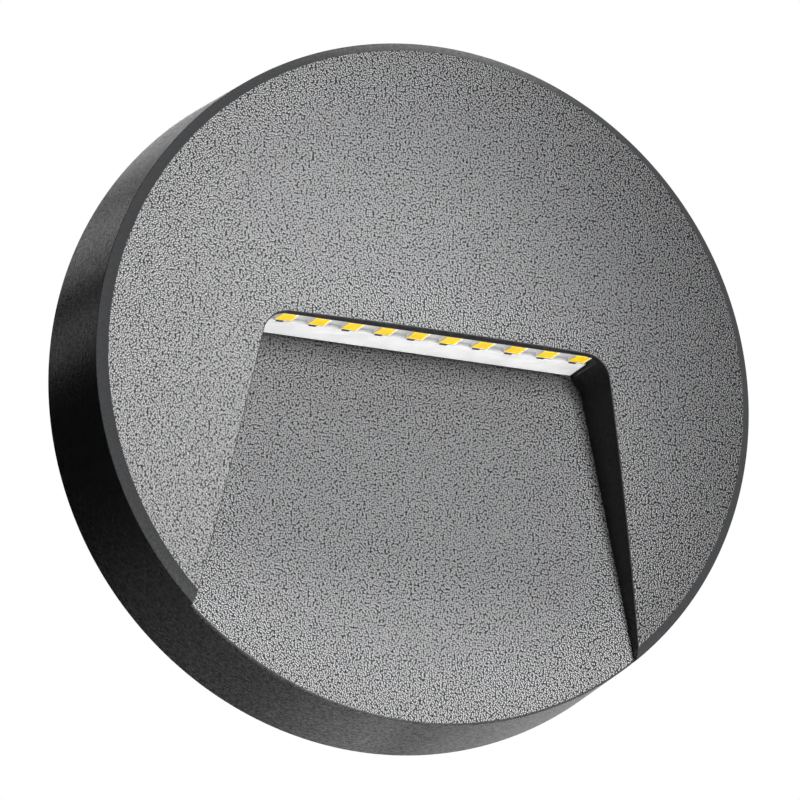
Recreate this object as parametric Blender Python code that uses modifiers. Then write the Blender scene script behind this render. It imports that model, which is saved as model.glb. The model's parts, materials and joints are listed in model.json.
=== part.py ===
"""Round surface-mounted wall light with a sloped recess that is lit from its ceiling.

The light is modelled lying on its back: x runs to the right, y runs up the wall and z comes
out of the wall. One empty then stands the whole light up, so that the world has +Z up and
the front faces -Y. All lengths are in metres.
"""
import math

import bmesh
import bpy
from mathutils import Matrix, Vector

# Outer form of the housing
rim_radius = 0.0600             # outer edge of the front chamfer
side_taper = 0.0014             # how much wider the housing is at the wall
rim_depth = 0.0216              # wall to the outer edge of the chamfer
chamfer_width = 0.0017
chamfer_depth = 0.00145
dome_rise = 0.0044              # how far the middle of the front stands out

# Walls of the housing
front_wall = 0.0022
side_wall = 0.0034              # measured at the wall
pocket_wall = 0.0015            # walls around the recess
ledge_width = 0.0020            # seat of the cover gasket

# Light chips and the slot that they shine through
chip_count = 10
chip_pitch = 0.0060
chip_width = 0.0030
chip_length = 0.0040
chip_height = 0.0008
chip_to_board = 0.0001
chip_row_shift = 0.0004         # the row stands this far to the right of the middle
chip_front_gap = 0.0002
lip_thickness = 0.0024          # front wall in front of the slot, at its thickest
slot_end_margin = 0.0012
slot_back_step = 0.0004         # top edge of the ramp that stays visible
seat_wall = 0.0004              # metal between the ceiling's front edge and the board's seat
board_thickness = 0.0012
board_overlap = 0.0016          # how far the board reaches past the slot's ends
board_depth = 0.0125

# Recess
ceiling_height = 0.0073         # above the centre of the light
slot_to_corner = 0.0013         # from the slot's end to the recess's sharp corner
ceiling_draft = math.radians(2.1)   # how much the recess leans down towards its back
recess_splay = math.radians(10.3)
corner_radius = 0.0045
ramp_depth = 0.0127             # wall to the ramp, under the ceiling
ramp_slope = math.radians(8.9)
ramp_straight_share = 0.585     # of the way from the ceiling to the rim; below it the ramp levels out

# Heat bar and the posts for its screws
heat_bar_height = 0.0040
heat_bar_depth = 0.0098
heat_bar_reach = 0.0079         # past the board's ends
wire_notch_width = 0.0080
wire_notch_depth = 0.0040
post_width = 0.0060
post_start = 0.0008             # post's wall side, in front of the ramp's top edge
post_height = 0.0090
bar_screw_share = 0.4           # where the screw stands along the post

# Fasteners, all M3
screw_radius = 0.0015
screw_head_radius = 0.00275
screw_head_height = 0.0018
screw_drive_radius = 0.0012
screw_drive_depth = 0.0010
cover_screw_length = 0.0080
bar_screw_length = 0.0085
tray_screw_length = 0.0075
grub_length = 0.0060
grub_drive_radius = 0.00087
grub_drive_depth = 0.0022
boss_radius = 0.0035
boss_inset = 0.0015             # between a cover boss and the side wall
boss_to_bar_screw = 0.0005      # between an upper cover boss and the heads of the bar's screws
lower_boss_angle = math.radians(35)
pilot_overrun = 0.0015

# Wall bracket
bracket_thickness = 0.0015
bracket_ring_width = 0.0250
tab_to_wall = 0.0035            # between a tab and the housing's side wall
tab_reach = 0.0025              # how far a tab stands outside the ring
tab_angle = math.radians(65)    # from the horizontal, one on each side
tab_width = 0.0100
tab_height = 0.0056
tab_bend = 0.0003               # corner that the bend takes off
tab_shoulder = 0.0005           # ear wider than its tab, each side
tab_to_cover = 0.0008
wall_slot_width = 0.0050
wall_slot_length = 0.0120

# Rear cover and seals
cover_thickness = 0.0012
cover_gasket_thickness = 0.0008
cover_gasket_width = 0.0013
rim_gasket_thickness = 0.0013
rim_gasket_width = 0.0014
rim_lip = 0.0016                # housing left outside the gasket's groove
grommet_drop = 0.0180           # centre, below the centre of the light
grommet_bore_radius = 0.0035
grommet_neck_radius = 0.0050
grommet_flange_radius = 0.0070
grommet_flange_thickness = 0.0012
vent_x = 0.0200
vent_drop = 0.0200
vent_radius = 0.0020
vent_head_radius = 0.0034
vent_head_thickness = 0.0012
vent_bore_radius = 0.0006

# Driver tray and board
tray_to_bar = 0.0009
tray_corner_clearance = 0.0025  # between the tray's upper corners and the side wall
tray_length_share = 0.716       # of the room between the bar and the side wall
tray_floor = 0.0010
tray_wall = 0.0010
tray_rim = 0.0040               # tray's depth over all
tray_ear_reach = 0.0075
tray_ear_width = 0.0080
tray_ear_step = 0.0002          # ears stand this far in from the tray's back
peg_radius = 0.0013
peg_height = 0.0012
peg_inset = 0.0030
driver_board_margin = 0.0005    # between the board's edge and the tray's wall
driver_board_thickness = 0.0012

# Driver parts: centre x and y, width and length as shares of half the board, height of the room over it
driver_shares = {
    "transformer": (-0.21, 0.0, 0.46, 0.85, 0.72),
    "input_capacitor": (0.36, -0.48, 0.29, 0.62, 0.85),
    "output_capacitor": (-0.62, 0.42, 0.23, 0.49, 0.85),
    "film_capacitor": (0.36, 0.60, 0.36, 0.35, 0.75),
    "bridge_rectifier": (0.36, 0.10, 0.23, 0.38, 0.28),
    "driver_chip": (-0.49, -0.64, 0.18, 0.31, 0.18),
    "line_choke": (-0.72, -0.40, 0.23, 0.49, 0.75),
    "input_fuse": (0.64, 0.52, 0.14, 0.31, 0.85),
    "input_terminal": (0.865, -0.30, 0.25, 0.85, 0.80),
}

# Wires and the earth lug
led_wire_radius = 0.0006
earth_wire_radius = 0.0008
lug_thickness = 0.0008
lug_reach = 0.0090
lug_tail_width = 0.0026

# Clearances
gap = 0.0003                    # between solids that touch
slide_gap = 0.0002              # round a screw or a board in its seat
overrun = 0.0010                # how far a cutter passes what it cuts

ROUND_STEPS = 112
SMALL_STEPS = 16
HOLE_STEPS = 16
BUSH_STEPS = 24
DOME_RINGS = 7
RAMP_STEPS = 7

# Derived sizes of the housing
wall_rim_radius = rim_radius + side_taper
face_radius = rim_radius - chamfer_width
face_depth = rim_depth + chamfer_depth
dome_sphere = (face_radius ** 2 + dome_rise ** 2) / (2 * dome_rise)
front_depth = face_depth + dome_rise
inner_back_radius = wall_rim_radius - side_wall
groove_radius = wall_rim_radius - rim_lip
cavity_radius = inner_back_radius - ledge_width
seat_level = ceiling_height + seat_wall


def front_surface(radius):
    """Depth of the domed front at a distance from the light's axis."""
    return front_depth - dome_sphere + math.sqrt(dome_sphere ** 2 - radius ** 2)


def ceiling_drop(depth):
    """How far the recess's ceiling has sunk below its front edge at a depth."""
    return (front_surface(ceiling_height) - depth) * math.tan(ceiling_draft)


# Derived sizes of the bracket and the rear cover
tab_outer_radius = inner_back_radius - tab_to_wall
bracket_radius = tab_outer_radius - tab_reach
bracket_hole_radius = bracket_radius - bracket_ring_width
wall_slot_radius = (bracket_radius + bracket_hole_radius) / 2
grub_axis_depth = (bracket_thickness + tab_height) / 2
cover_depth = tab_height + tab_to_cover
cover_front = cover_depth + cover_thickness
ledge_depth = cover_front + gap + cover_gasket_thickness + gap

# Derived sizes around the chips
slot_half_length = (chip_count - 1) * chip_pitch / 2 + chip_width / 2 + slot_end_margin
slot_front = front_surface(ceiling_height) - lip_thickness
slot_back = ramp_depth + slot_back_step
recess_half_width = slot_half_length + slot_to_corner
board_bottom = seat_level + gap
board_top = board_bottom + board_thickness
chip_middle = board_bottom - chip_to_board - chip_height / 2
board_front = slot_front - slide_gap
board_back = board_front - board_depth
board_half_length = slot_half_length + board_overlap
heat_bar_bottom = board_top + gap
heat_bar_top = heat_bar_bottom + heat_bar_height
heat_bar_half_length = board_half_length + heat_bar_reach
post_x = (board_half_length + heat_bar_half_length) / 2 + gap
post_back = ramp_depth + post_start
bar_screw_depth = post_back + (slot_front - post_back) * bar_screw_share
notch_x = slot_half_length - 2 * wire_notch_width

# Derived sizes of the cover's bosses
cover_screw_circle = cavity_radius - boss_radius - boss_inset
upper_boss_height = heat_bar_top + gap + screw_head_height + boss_to_bar_screw + boss_radius
upper_boss_angle = math.asin(upper_boss_height / cover_screw_circle)
cover_screw_angles = (upper_boss_angle, math.pi - upper_boss_angle,
                      math.pi + lower_boss_angle, math.tau - lower_boss_angle)

# Derived sizes of the driver
tray_bottom = heat_bar_top + tray_to_bar
tray_length = (cavity_radius - tray_bottom) * tray_length_share
tray_top = tray_bottom + tray_length
tray_half_width = math.sqrt((cavity_radius - tray_corner_clearance) ** 2 - tray_top ** 2)
tray_middle = (tray_bottom + tray_top) / 2
tray_depth = cover_front + screw_head_height + 2 * gap + tray_ear_step
tray_ear_front = tray_depth + tray_ear_step + tray_floor
tray_ear_x = tray_half_width + tray_ear_reach - boss_radius
driver_half_x = tray_half_width - tray_wall - driver_board_margin
driver_half_y = tray_length / 2 - tray_wall - driver_board_margin
driver_back = tray_depth + tray_floor + peg_height + gap
driver_face = driver_back + driver_board_thickness
earth_x = -(board_half_length + heat_bar_half_length) / 2 - boss_radius
earth_y = -boss_radius
earth_boss_depth = tray_depth + tray_floor + gap

light = bpy.data.collections.new("wall_light")
cutters = bpy.data.collections.new("cutters")


def clear_scene():
    for old in list(bpy.data.objects):
        bpy.data.objects.remove(old, do_unlink=True)
    bpy.context.scene.collection.children.link(light)
    bpy.context.scene.collection.children.link(cutters)


def make_material(name, color, roughness, metallic=0.0):
    material = bpy.data.materials.new(name)
    material.use_nodes = True
    shader = material.node_tree.nodes["Principled BSDF"]
    shader.inputs["Base Color"].default_value = (*color, 1.0)
    shader.inputs["Roughness"].default_value = roughness
    shader.inputs["Metallic"].default_value = metallic
    material.diffuse_color = (*color, 1.0)
    return material


def make_materials():
    return {
        "paint": make_material("anthracite_paint", (0.075, 0.078, 0.082), 0.55),
        "steel": make_material("zinc_steel", (0.62, 0.63, 0.65), 0.35, 1.0),
        "grub": make_material("dark_steel", (0.08, 0.08, 0.085), 0.4, 1.0),
        "chip": make_material("chip_phosphor", (1.0, 0.62, 0.02), 0.4),
        "board": make_material("light_board_grey", (0.62, 0.62, 0.64), 0.5),
        "brushed": make_material("brushed_aluminium", (0.88, 0.88, 0.89), 0.3, 1.0),
        "aluminium": make_material("plain_aluminium", (0.70, 0.71, 0.72), 0.45, 1.0),
        "rubber": make_material("black_rubber", (0.02, 0.02, 0.02), 0.8),
        "tray": make_material("black_plastic", (0.03, 0.03, 0.032), 0.5),
        "circuit": make_material("green_board", (0.03, 0.16, 0.07), 0.45),
        "ferrite": make_material("ferrite", (0.05, 0.05, 0.055), 0.6),
        "sleeve": make_material("capacitor_sleeve", (0.04, 0.06, 0.16), 0.4),
        "film": make_material("film_yellow", (0.72, 0.58, 0.12), 0.45),
        "resin": make_material("black_resin", (0.025, 0.025, 0.025), 0.5),
        "ceramic": make_material("fuse_ceramic", (0.78, 0.75, 0.68), 0.35),
        "terminal": make_material("terminal_green", (0.06, 0.30, 0.14), 0.45),
        "red": make_material("red_wire", (0.60, 0.03, 0.02), 0.45),
        "black": make_material("black_wire", (0.02, 0.02, 0.02), 0.45),
        "earth": make_material("earth_wire_green", (0.10, 0.42, 0.06), 0.45),
        "vent": make_material("vent_white", (0.80, 0.80, 0.78), 0.55),
    }


def put(name, mesh, material, parent, place=(0, 0, 0), turn=(0, 0, 0)):
    """Makes the named object of one piece and hangs it on its body."""
    piece = bpy.data.objects.new(name, mesh)
    light.objects.link(piece)
    piece.parent = parent
    piece.location = place
    piece.rotation_euler = turn
    if material:
        mesh.materials.append(material)
    return piece


def put_cutter(name, mesh, parent, place=(0, 0, 0), turn=(0, 0, 0)):
    tool = bpy.data.objects.new(name, mesh)
    cutters.objects.link(tool)
    tool.parent = parent
    tool.location = place
    tool.rotation_euler = turn
    tool.hide_render = True
    tool.display_type = "WIRE"
    return tool


def boolean(piece, tool, operation="DIFFERENCE"):
    step = piece.modifiers.new(operation.lower(), "BOOLEAN")
    step.operation = operation
    step.solver = "EXACT"
    step.object = tool
    return step


def soften(piece, width, segments=2):
    bevel = piece.modifiers.new("edges", "BEVEL")
    bevel.width = width
    bevel.segments = segments
    bevel.limit_method = "ANGLE"
    bevel.angle_limit = math.radians(40)
    return bevel


def block_mesh(name, width, height, depth):
    """A box about its own centre: width along x, height along y, depth along z."""
    mesh = bpy.data.meshes.new(name)
    shape = bmesh.new()
    bmesh.ops.create_cube(shape, size=1.0)
    bmesh.ops.scale(shape, vec=(width, height, depth), verts=shape.verts)
    shape.to_mesh(mesh)
    shape.free()
    return mesh


def span_block(name, low, high):
    """A box mesh between two corners, with the place of its centre."""
    low, high = Vector(low), Vector(high)
    size = high - low
    return block_mesh(name, size.x, size.y, size.z), (low + high) / 2


def rod_mesh(name, radius, length, steps=SMALL_STEPS):
    """A cylinder that stands on its own origin along +z."""
    mesh = bpy.data.meshes.new(name)
    shape = bmesh.new()
    bmesh.ops.create_cone(shape, cap_ends=True, cap_tris=False, segments=steps, radius1=radius,
                          radius2=radius, depth=length)
    bmesh.ops.translate(shape, vec=(0, 0, length / 2), verts=shape.verts)
    shape.to_mesh(mesh)
    shape.free()
    return mesh


def rods_mesh(name, rods):
    """Separate cylinders in one mesh, each given as radius, length, foot and direction."""
    mesh = bpy.data.meshes.new(name)
    shape = bmesh.new()
    for radius, length, foot, direction in rods:
        turn = Vector(direction).to_track_quat("Z", "Y").to_matrix().to_4x4()
        matrix = Matrix.Translation(foot) @ turn @ Matrix.Translation((0, 0, length / 2))
        bmesh.ops.create_cone(shape, cap_ends=True, cap_tris=False, segments=HOLE_STEPS, radius1=radius,
                              radius2=radius, depth=length, matrix=matrix)
    shape.to_mesh(mesh)
    shape.free()
    return mesh


def profile_mesh(name, points, closed):
    """The outline of a turned piece, in the xz plane, for a Screw modifier."""
    mesh = bpy.data.meshes.new(name)
    edges = [(i, i + 1) for i in range(len(points) - 1)]
    if closed:
        edges.append((len(points) - 1, 0))
    mesh.from_pydata([(r, 0, z) for r, z in points], edges, [])
    return mesh


def spin(piece, steps):
    turn = piece.modifiers.new("turn", "SCREW")
    turn.axis = "Z"
    turn.angle = math.tau
    turn.steps = steps
    turn.render_steps = steps
    turn.use_merge_vertices = True
    turn.merge_threshold = 0.00001
    turn.use_smooth_shade = True
    return turn


def plate_mesh(name, outlines, thickness):
    """A flat plate from closed outlines, the first outside and the rest as holes."""
    curve = bpy.data.curves.new(name, "CURVE")
    curve.dimensions = "2D"
    curve.fill_mode = "BOTH"
    curve.extrude = thickness / 2
    for outline in outlines:
        spline = curve.splines.new("POLY")
        spline.points.add(len(outline) - 1)
        for point, (x, y) in zip(spline.points, outline):
            point.co = (x, y, 0, 1)
        spline.use_cyclic_u = True
    holder = bpy.data.objects.new(name, curve)
    cutters.objects.link(holder)
    bpy.context.view_layer.update()
    graph = bpy.context.evaluated_depsgraph_get()
    mesh = bpy.data.meshes.new_from_object(holder.evaluated_get(graph))
    bpy.data.objects.remove(holder)
    shape = bmesh.new()
    shape.from_mesh(mesh)
    bmesh.ops.remove_doubles(shape, verts=shape.verts, dist=0.000001)
    bmesh.ops.recalc_face_normals(shape, faces=shape.faces)
    shape.to_mesh(mesh)
    shape.free()
    mesh.name = name
    return mesh


def circle(radius, steps, centre=(0, 0)):
    return [(centre[0] + radius * math.cos(math.tau * i / steps),
             centre[1] + radius * math.sin(math.tau * i / steps)) for i in range(steps)]


def smooth(piece, angle=math.radians(35)):
    piece.data.shade_smooth()
    piece.data.set_sharp_from_angle(angle=angle)


def arc(centre, radius, start, end, steps):
    return [(centre[0] + radius * math.cos(start + (end - start) * i / steps),
             centre[1] + radius * math.sin(start + (end - start) * i / steps)) for i in range(steps + 1)]


def disc_with_ears(radius, steps, reach, half_width, angles):
    """Outline of a disc with a straight-sided ear at each of the angles."""
    root = math.asin(half_width / radius)
    tip = math.atan(half_width / reach)
    points = []
    for angle in angles:
        points += [(angle - root, radius), (angle + root, radius)]
        points += [(angle - tip, reach / math.cos(tip)), (angle + tip, reach / math.cos(tip))]
    for i in range(steps):
        spot = math.tau * i / steps
        if all(abs(math.remainder(spot - angle, math.tau)) > root for angle in angles):
            points.append((spot, radius))
    ordered = sorted((spot % math.tau, distance) for spot, distance in points)
    return [(distance * math.cos(spot), distance * math.sin(spot)) for spot, distance in ordered]


def recess_outline(grow):
    """Front view of the recess: level ceiling, splayed sides, rounded upper corners."""
    top = ceiling_height + grow
    radius = corner_radius + grow
    side_normal = recess_splay
    corner_x = recess_half_width + grow / math.cos(recess_splay) - grow * math.tan(recess_splay)
    centre_y = top - radius
    centre_x = corner_x + radius * math.tan(recess_splay) - radius / math.cos(recess_splay)
    foot_y = -wall_rim_radius - pocket_wall - overrun
    foot_x = corner_x + (top - foot_y) * math.tan(recess_splay)
    right = arc((centre_x, centre_y), radius, side_normal, math.pi / 2, 7)
    left = [(-x, y) for x, y in reversed(right)]
    return [(foot_x, foot_y)] + right + left + [(-foot_x, foot_y)]


def ramp_profile(grow):
    """Side view of the space above the ramp: straight, then level at the rim, lowered by the growth."""
    fall = ceiling_height + rim_radius
    bend = fall * (1 - ramp_straight_share)
    rise = math.tan(ramp_slope)
    points = [(ceiling_height + rim_radius, ramp_depth - rise * rim_radius - grow / math.cos(ramp_slope))]
    for i in range(RAMP_STEPS + 1):
        past = bend * i / RAMP_STEPS
        slope = math.atan(rise * (1 - past / bend))
        depth = ramp_depth + rise * (fall - bend + past) - rise * past ** 2 / (2 * bend)
        y = bend - rim_radius - past
        points.append((y - grow * math.sin(slope), depth - grow * math.cos(slope)))
    points.append((-2 * rim_radius, points[-1][1]))
    return points + [(-2 * rim_radius, 2 * front_depth), (points[0][0], 2 * front_depth)]


def recess_cutter(parent, name, grow):
    """The space of the recess, or with a growth the space that its walls take up too."""
    height = 2 * front_depth
    prism = plate_mesh(name, [recess_outline(grow)], height)
    for vertex in prism.vertices:
        vertex.co.y -= ceiling_drop(vertex.co.z + height / 2)
    cutter = put_cutter(name, prism, parent, (0, 0, height / 2))
    above = plate_mesh(name + "_above_ramp", [ramp_profile(grow)], 4 * rim_radius)
    turn = (math.pi / 2, 0, math.pi / 2)
    boolean(cutter, put_cutter(name + "_above_ramp", above, parent, (0, 0, 0), turn), "INTERSECT")
    return cutter


def dome_points(sphere_offset, radius):
    """Points down the dome from the axis to its edge, at an offset behind the front."""
    points = []
    for i in range(DOME_RINGS + 1):
        r = radius * i / DOME_RINGS
        points.append((r, front_surface(r) - sphere_offset))
    return points


def cover_screw_places():
    return [(cover_screw_circle * math.cos(angle), cover_screw_circle * math.sin(angle))
            for angle in cover_screw_angles]


def boss_places():
    """Every boss: its place and the depth at which it starts."""
    places = [("cover", x, y, cover_front + gap) for x, y in cover_screw_places()]
    for side in (-1, 1):
        places.append(("tray", side * tray_ear_x, tray_middle, tray_ear_front + gap))
    places.append(("earth", earth_x, earth_y, earth_boss_depth))
    return places


def make_cavity(head):
    """The hollow behind the front, less the recess walls, the bosses and the bar's posts."""
    dome_radius = cavity_radius - chamfer_width
    points = dome_points(front_wall, dome_radius)
    points += [(cavity_radius, front_surface(dome_radius) - front_wall - chamfer_width),
               (cavity_radius, ledge_depth), (inner_back_radius, ledge_depth),
               (inner_back_radius, rim_gasket_thickness + gap), (groove_radius, rim_gasket_thickness + gap),
               (groove_radius, -overrun), (0, -overrun)]
    cavity = put_cutter("cavity", profile_mesh("cavity", points, False), head)
    spin(cavity, ROUND_STEPS)
    boolean(cavity, recess_cutter(head, "recess_with_walls", pocket_wall))
    up = (0, 0, 1)
    bosses = [(boss_radius, front_depth - start, (x, y, start), up) for _, x, y, start in boss_places()]
    boolean(cavity, put_cutter("bosses", rods_mesh("bosses", bosses), head))
    for side in (-1, 1):
        low_x, high_x = side * post_x - post_width / 2, side * post_x + post_width / 2
        mesh, centre = span_block("post", (low_x, board_top - post_height, post_back),
                                  (high_x, board_top, front_depth))
        boolean(cavity, put_cutter("post", mesh, head, centre))
    return cavity


def make_housing(head, paint):
    """The casting: domed front, chamfer, tapered side, recess and everything cast inside it."""
    points = dome_points(0, face_radius)
    points += [(rim_radius, rim_depth), (wall_rim_radius, 0), (0, 0)]
    housing = put("housing", profile_mesh("housing", points, False), paint, head)
    spin(housing, ROUND_STEPS)
    boolean(housing, recess_cutter(head, "recess", 0))
    mesh, centre = span_block("slot", (-slot_half_length, ceiling_height - 2 * overrun, slot_back),
                              (slot_half_length, seat_level + overrun, slot_front))
    boolean(housing, put_cutter("slot", mesh, head, centre))
    reach = board_half_length + slide_gap + gap
    mesh, centre = span_block("board_seat", (-reach, seat_level, board_back - gap),
                              (reach, heat_bar_top, slot_front))
    boolean(housing, put_cutter("board_seat", mesh, head, centre))
    boolean(housing, make_cavity(head))
    boolean(housing, put_cutter("screw_holes", rods_mesh("screw_holes", screw_holes()), head))
    return housing


def screw_holes():
    """Every screw hole in the housing: blind ones in the bosses and posts, open ones for the set screws."""
    holes = []
    radius = screw_radius + slide_gap
    for kind, x, y, start in boss_places():
        length = cover_screw_length if kind == "cover" else tray_screw_length
        holes.append((radius, length + pilot_overrun, (x, y, start - overrun), (0, 0, 1)))
    for side in (-1, 1):
        holes.append((radius, bar_screw_length, (side * post_x, heat_bar_top, bar_screw_depth), (0, -1, 0)))
        place, outwards = grub_line(side, tab_outer_radius + overrun)
        holes.append((radius, wall_rim_radius - tab_outer_radius, place, outwards))
    return holes


def grub_line(side, radius):
    """A point on a set screw's axis and the axis itself, pointing outwards."""
    angle = tab_angle if side > 0 else math.pi - tab_angle
    outwards = Vector((math.cos(angle), math.sin(angle), 0))
    return outwards * radius + Vector((0, 0, grub_axis_depth)), outwards


def make_set_screw(side, name, head, steel):
    """A grub screw with a hexagon socket; its tip stops just short of the bracket's tab."""
    anchor = bpy.data.objects.new(name + "_axis", None)
    light.objects.link(anchor)
    anchor.parent = head
    place, outwards = grub_line(side, tab_outer_radius + gap)
    anchor.location = place
    anchor.rotation_euler = outwards.to_track_quat("Z", "Y").to_euler()
    chamfer = screw_radius / 4
    points = [(0, grub_length), (screw_radius - chamfer, grub_length), (screw_radius, grub_length - chamfer),
              (screw_radius, chamfer * 2), (screw_radius - chamfer * 2, 0), (0, 0)]
    screw = put(name, profile_mesh(name, points, False), steel, anchor)
    spin(screw, SMALL_STEPS)
    socket = rod_mesh("socket", grub_drive_radius, grub_drive_depth + overrun, 6)
    boolean(screw, put_cutter(name + "_socket", socket, anchor, (0, 0, grub_length - grub_drive_depth)))
    return screw


def make_screw(name, length, body, steel, place, turn):
    """A pan-head screw with a cross recess; its shank starts at the origin and runs along -z."""
    crown_share, flat_share, shoulder_share, shoulder_fall_share = 0.35, 0.55, 0.88, 0.4
    r, top, crown = screw_head_radius, screw_head_height, screw_head_height * crown_share
    tip = screw_radius / 2
    points = [(0, top), (r * flat_share, top), (r * shoulder_share, top - crown * shoulder_fall_share),
              (r, top - crown), (r, 0), (screw_radius, 0),
              (screw_radius, tip - length), (tip, -length), (0, -length)]
    screw = put(name, profile_mesh(name, points, False), steel, body, place, turn)
    spin(screw, SMALL_STEPS)
    for i in range(2):
        bar = block_mesh("cross", 2 * screw_drive_radius, screw_drive_radius / 2, 2 * screw_drive_depth)
        tool = put_cutter(f"{name}_cross_{i}", bar, screw, (0, 0, top), (0, 0, i * math.pi / 2))
        boolean(screw, tool)
    return screw


def make_bracket(root, steel):
    """Ring plate with four wall slots and two bent tabs for the set screws."""
    angles = (tab_angle, math.pi - tab_angle)
    outlines = [disc_with_ears(bracket_radius, ROUND_STEPS // 2, tab_outer_radius - tab_bend,
                               tab_width / 2 + tab_shoulder, angles),
                circle(bracket_hole_radius, ROUND_STEPS // 2)]
    half = wall_slot_length / 2 - wall_slot_width / 2
    for i in range(4):
        middle = math.pi / 2 * i
        along = (-math.sin(middle), math.cos(middle))
        centre = (wall_slot_radius * math.cos(middle), wall_slot_radius * math.sin(middle))
        ends = []
        for sign, start in ((1, middle), (-1, middle + math.pi)):
            spot = (centre[0] + sign * half * along[0], centre[1] + sign * half * along[1])
            ends += arc(spot, wall_slot_width / 2, start, start + math.pi, 6)
        outlines.append(ends)
    bracket = put("wall_bracket", plate_mesh("wall_bracket", outlines, bracket_thickness), steel, root,
                  (0, 0, bracket_thickness / 2))
    for angle in angles:
        tab = block_mesh("tab", bracket_thickness, tab_width, tab_height - tab_bend)
        middle = tab_outer_radius - bracket_thickness / 2
        place = (middle * math.cos(angle), middle * math.sin(angle), (tab_height + tab_bend) / 2)
        boolean(bracket, put_cutter("tab", tab, root, place, (0, 0, angle)), "UNION")
    return bracket


def ring(name, inner, outer, start, thickness, body, material, steps=ROUND_STEPS):
    points = [(outer, start + thickness), (outer, start), (inner, start), (inner, start + thickness)]
    piece = put(name, profile_mesh(name, points, True), material, body)
    spin(piece, steps)
    return piece


def make_rear_cover(head, steel):
    """Round plate with holes for its screws, the cable grommet and the vent."""
    edge = inner_back_radius - gap
    outlines = [circle(edge, ROUND_STEPS)]
    for place in cover_screw_places():
        outlines.append(circle(screw_radius + slide_gap, HOLE_STEPS, place))
    outlines.append(circle(grommet_neck_radius + slide_gap, BUSH_STEPS, (0, -grommet_drop)))
    outlines.append(circle(vent_radius + slide_gap, HOLE_STEPS, (vent_x, -vent_drop)))
    return put("rear_cover", plate_mesh("rear_cover", outlines, cover_thickness), steel, head,
               (0, 0, cover_depth + cover_thickness / 2))


def make_grommet(head, rubber):
    """Rubber bush with a flange on each side of the cover and a bore for the mains cable."""
    back = cover_depth - gap
    front = cover_front + gap
    lip_share, flange_edge_share = 0.8, 0.9
    points = [(grommet_neck_radius * lip_share, front + 2 * grommet_flange_thickness),
              (grommet_flange_radius * flange_edge_share, front + grommet_flange_thickness),
              (grommet_flange_radius, front), (grommet_neck_radius, front), (grommet_neck_radius, back),
              (grommet_flange_radius, back), (grommet_flange_radius, back - grommet_flange_thickness),
              (grommet_bore_radius, back - grommet_flange_thickness),
              (grommet_bore_radius, front + 2 * grommet_flange_thickness)]
    piece = put("cable_grommet", profile_mesh("cable_grommet", points, True), rubber, head,
                (0, -grommet_drop, 0))
    spin(piece, BUSH_STEPS)
    return piece


def make_vent(head, plastic):
    """Breather plug with a shaped head behind the cover and a fine bore."""
    head_face = cover_depth - gap
    rim_share, crown_share = 0.6, 0.8
    points = [(vent_radius, cover_front + vent_head_thickness), (vent_radius, head_face),
              (vent_head_radius, head_face), (vent_head_radius, head_face - vent_head_thickness * rim_share),
              (vent_head_radius * crown_share, head_face - vent_head_thickness),
              (vent_bore_radius, head_face - vent_head_thickness),
              (vent_bore_radius, cover_front + vent_head_thickness)]
    piece = put("vent_plug", profile_mesh("vent_plug", points, True), plastic, head, (vent_x, -vent_drop, 0))
    spin(piece, SMALL_STEPS)
    return piece


def make_light_row(head, paints):
    """Chips, reflector strip and board; chips and strip lie level with the recess's ceiling."""
    chip_front = slot_front - chip_front_gap
    chip_mesh = block_mesh("led", chip_width, chip_height, chip_length)
    for i in range(chip_count):
        x = (i - (chip_count - 1) / 2) * chip_pitch + chip_row_shift
        spot = (x, chip_middle, chip_front - chip_length / 2)
        chip = put(f"led_{i + 1:02d}", chip_mesh.copy(), paints["chip"], head, spot)
        soften(chip, chip_height / 5, 1)
    strip_front = chip_front - chip_length - gap
    strip_back = slot_back + gap
    strip_top = board_bottom - gap
    section = [(ceiling_height - ceiling_drop(strip_back), strip_back),
               (ceiling_height - ceiling_drop(strip_front), strip_front),
               (strip_top, strip_front), (strip_top, strip_back)]
    put("reflector_strip", plate_mesh("reflector_strip", [section], 2 * (slot_half_length - gap)),
        paints["brushed"], head, (0, 0, 0), (math.pi / 2, 0, math.pi / 2))
    mesh, centre = span_block("led_board", (-board_half_length, board_bottom, board_back),
                              (board_half_length, board_top, board_front))
    put("led_board", mesh, paints["board"], head, centre)


def make_heat_bar(head, aluminium):
    """Aluminium bar over the board, notched where the wires reach it."""
    mesh, centre = span_block("heat_bar", (-heat_bar_half_length, heat_bar_bottom, board_back),
                              (heat_bar_half_length, heat_bar_top, board_back + heat_bar_depth))
    bar = put("heat_bar", mesh, aluminium, head, centre)
    low_x, high_x = notch_x - wire_notch_width / 2, notch_x + wire_notch_width / 2
    mesh, centre = span_block("wire_notch", (low_x, heat_bar_bottom - overrun, board_back - overrun),
                              (high_x, heat_bar_top + overrun, board_back + wire_notch_depth))
    boolean(bar, put_cutter("wire_notch", mesh, head, centre))
    for side in (-1, 1):
        hole = rod_mesh("bar_hole", screw_radius + slide_gap, heat_bar_height + 2 * overrun, HOLE_STEPS)
        place = (side * post_x, heat_bar_top + overrun, bar_screw_depth)
        boolean(bar, put_cutter("bar_hole", hole, head, place, (math.pi / 2, 0, 0)))
    return bar


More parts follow.
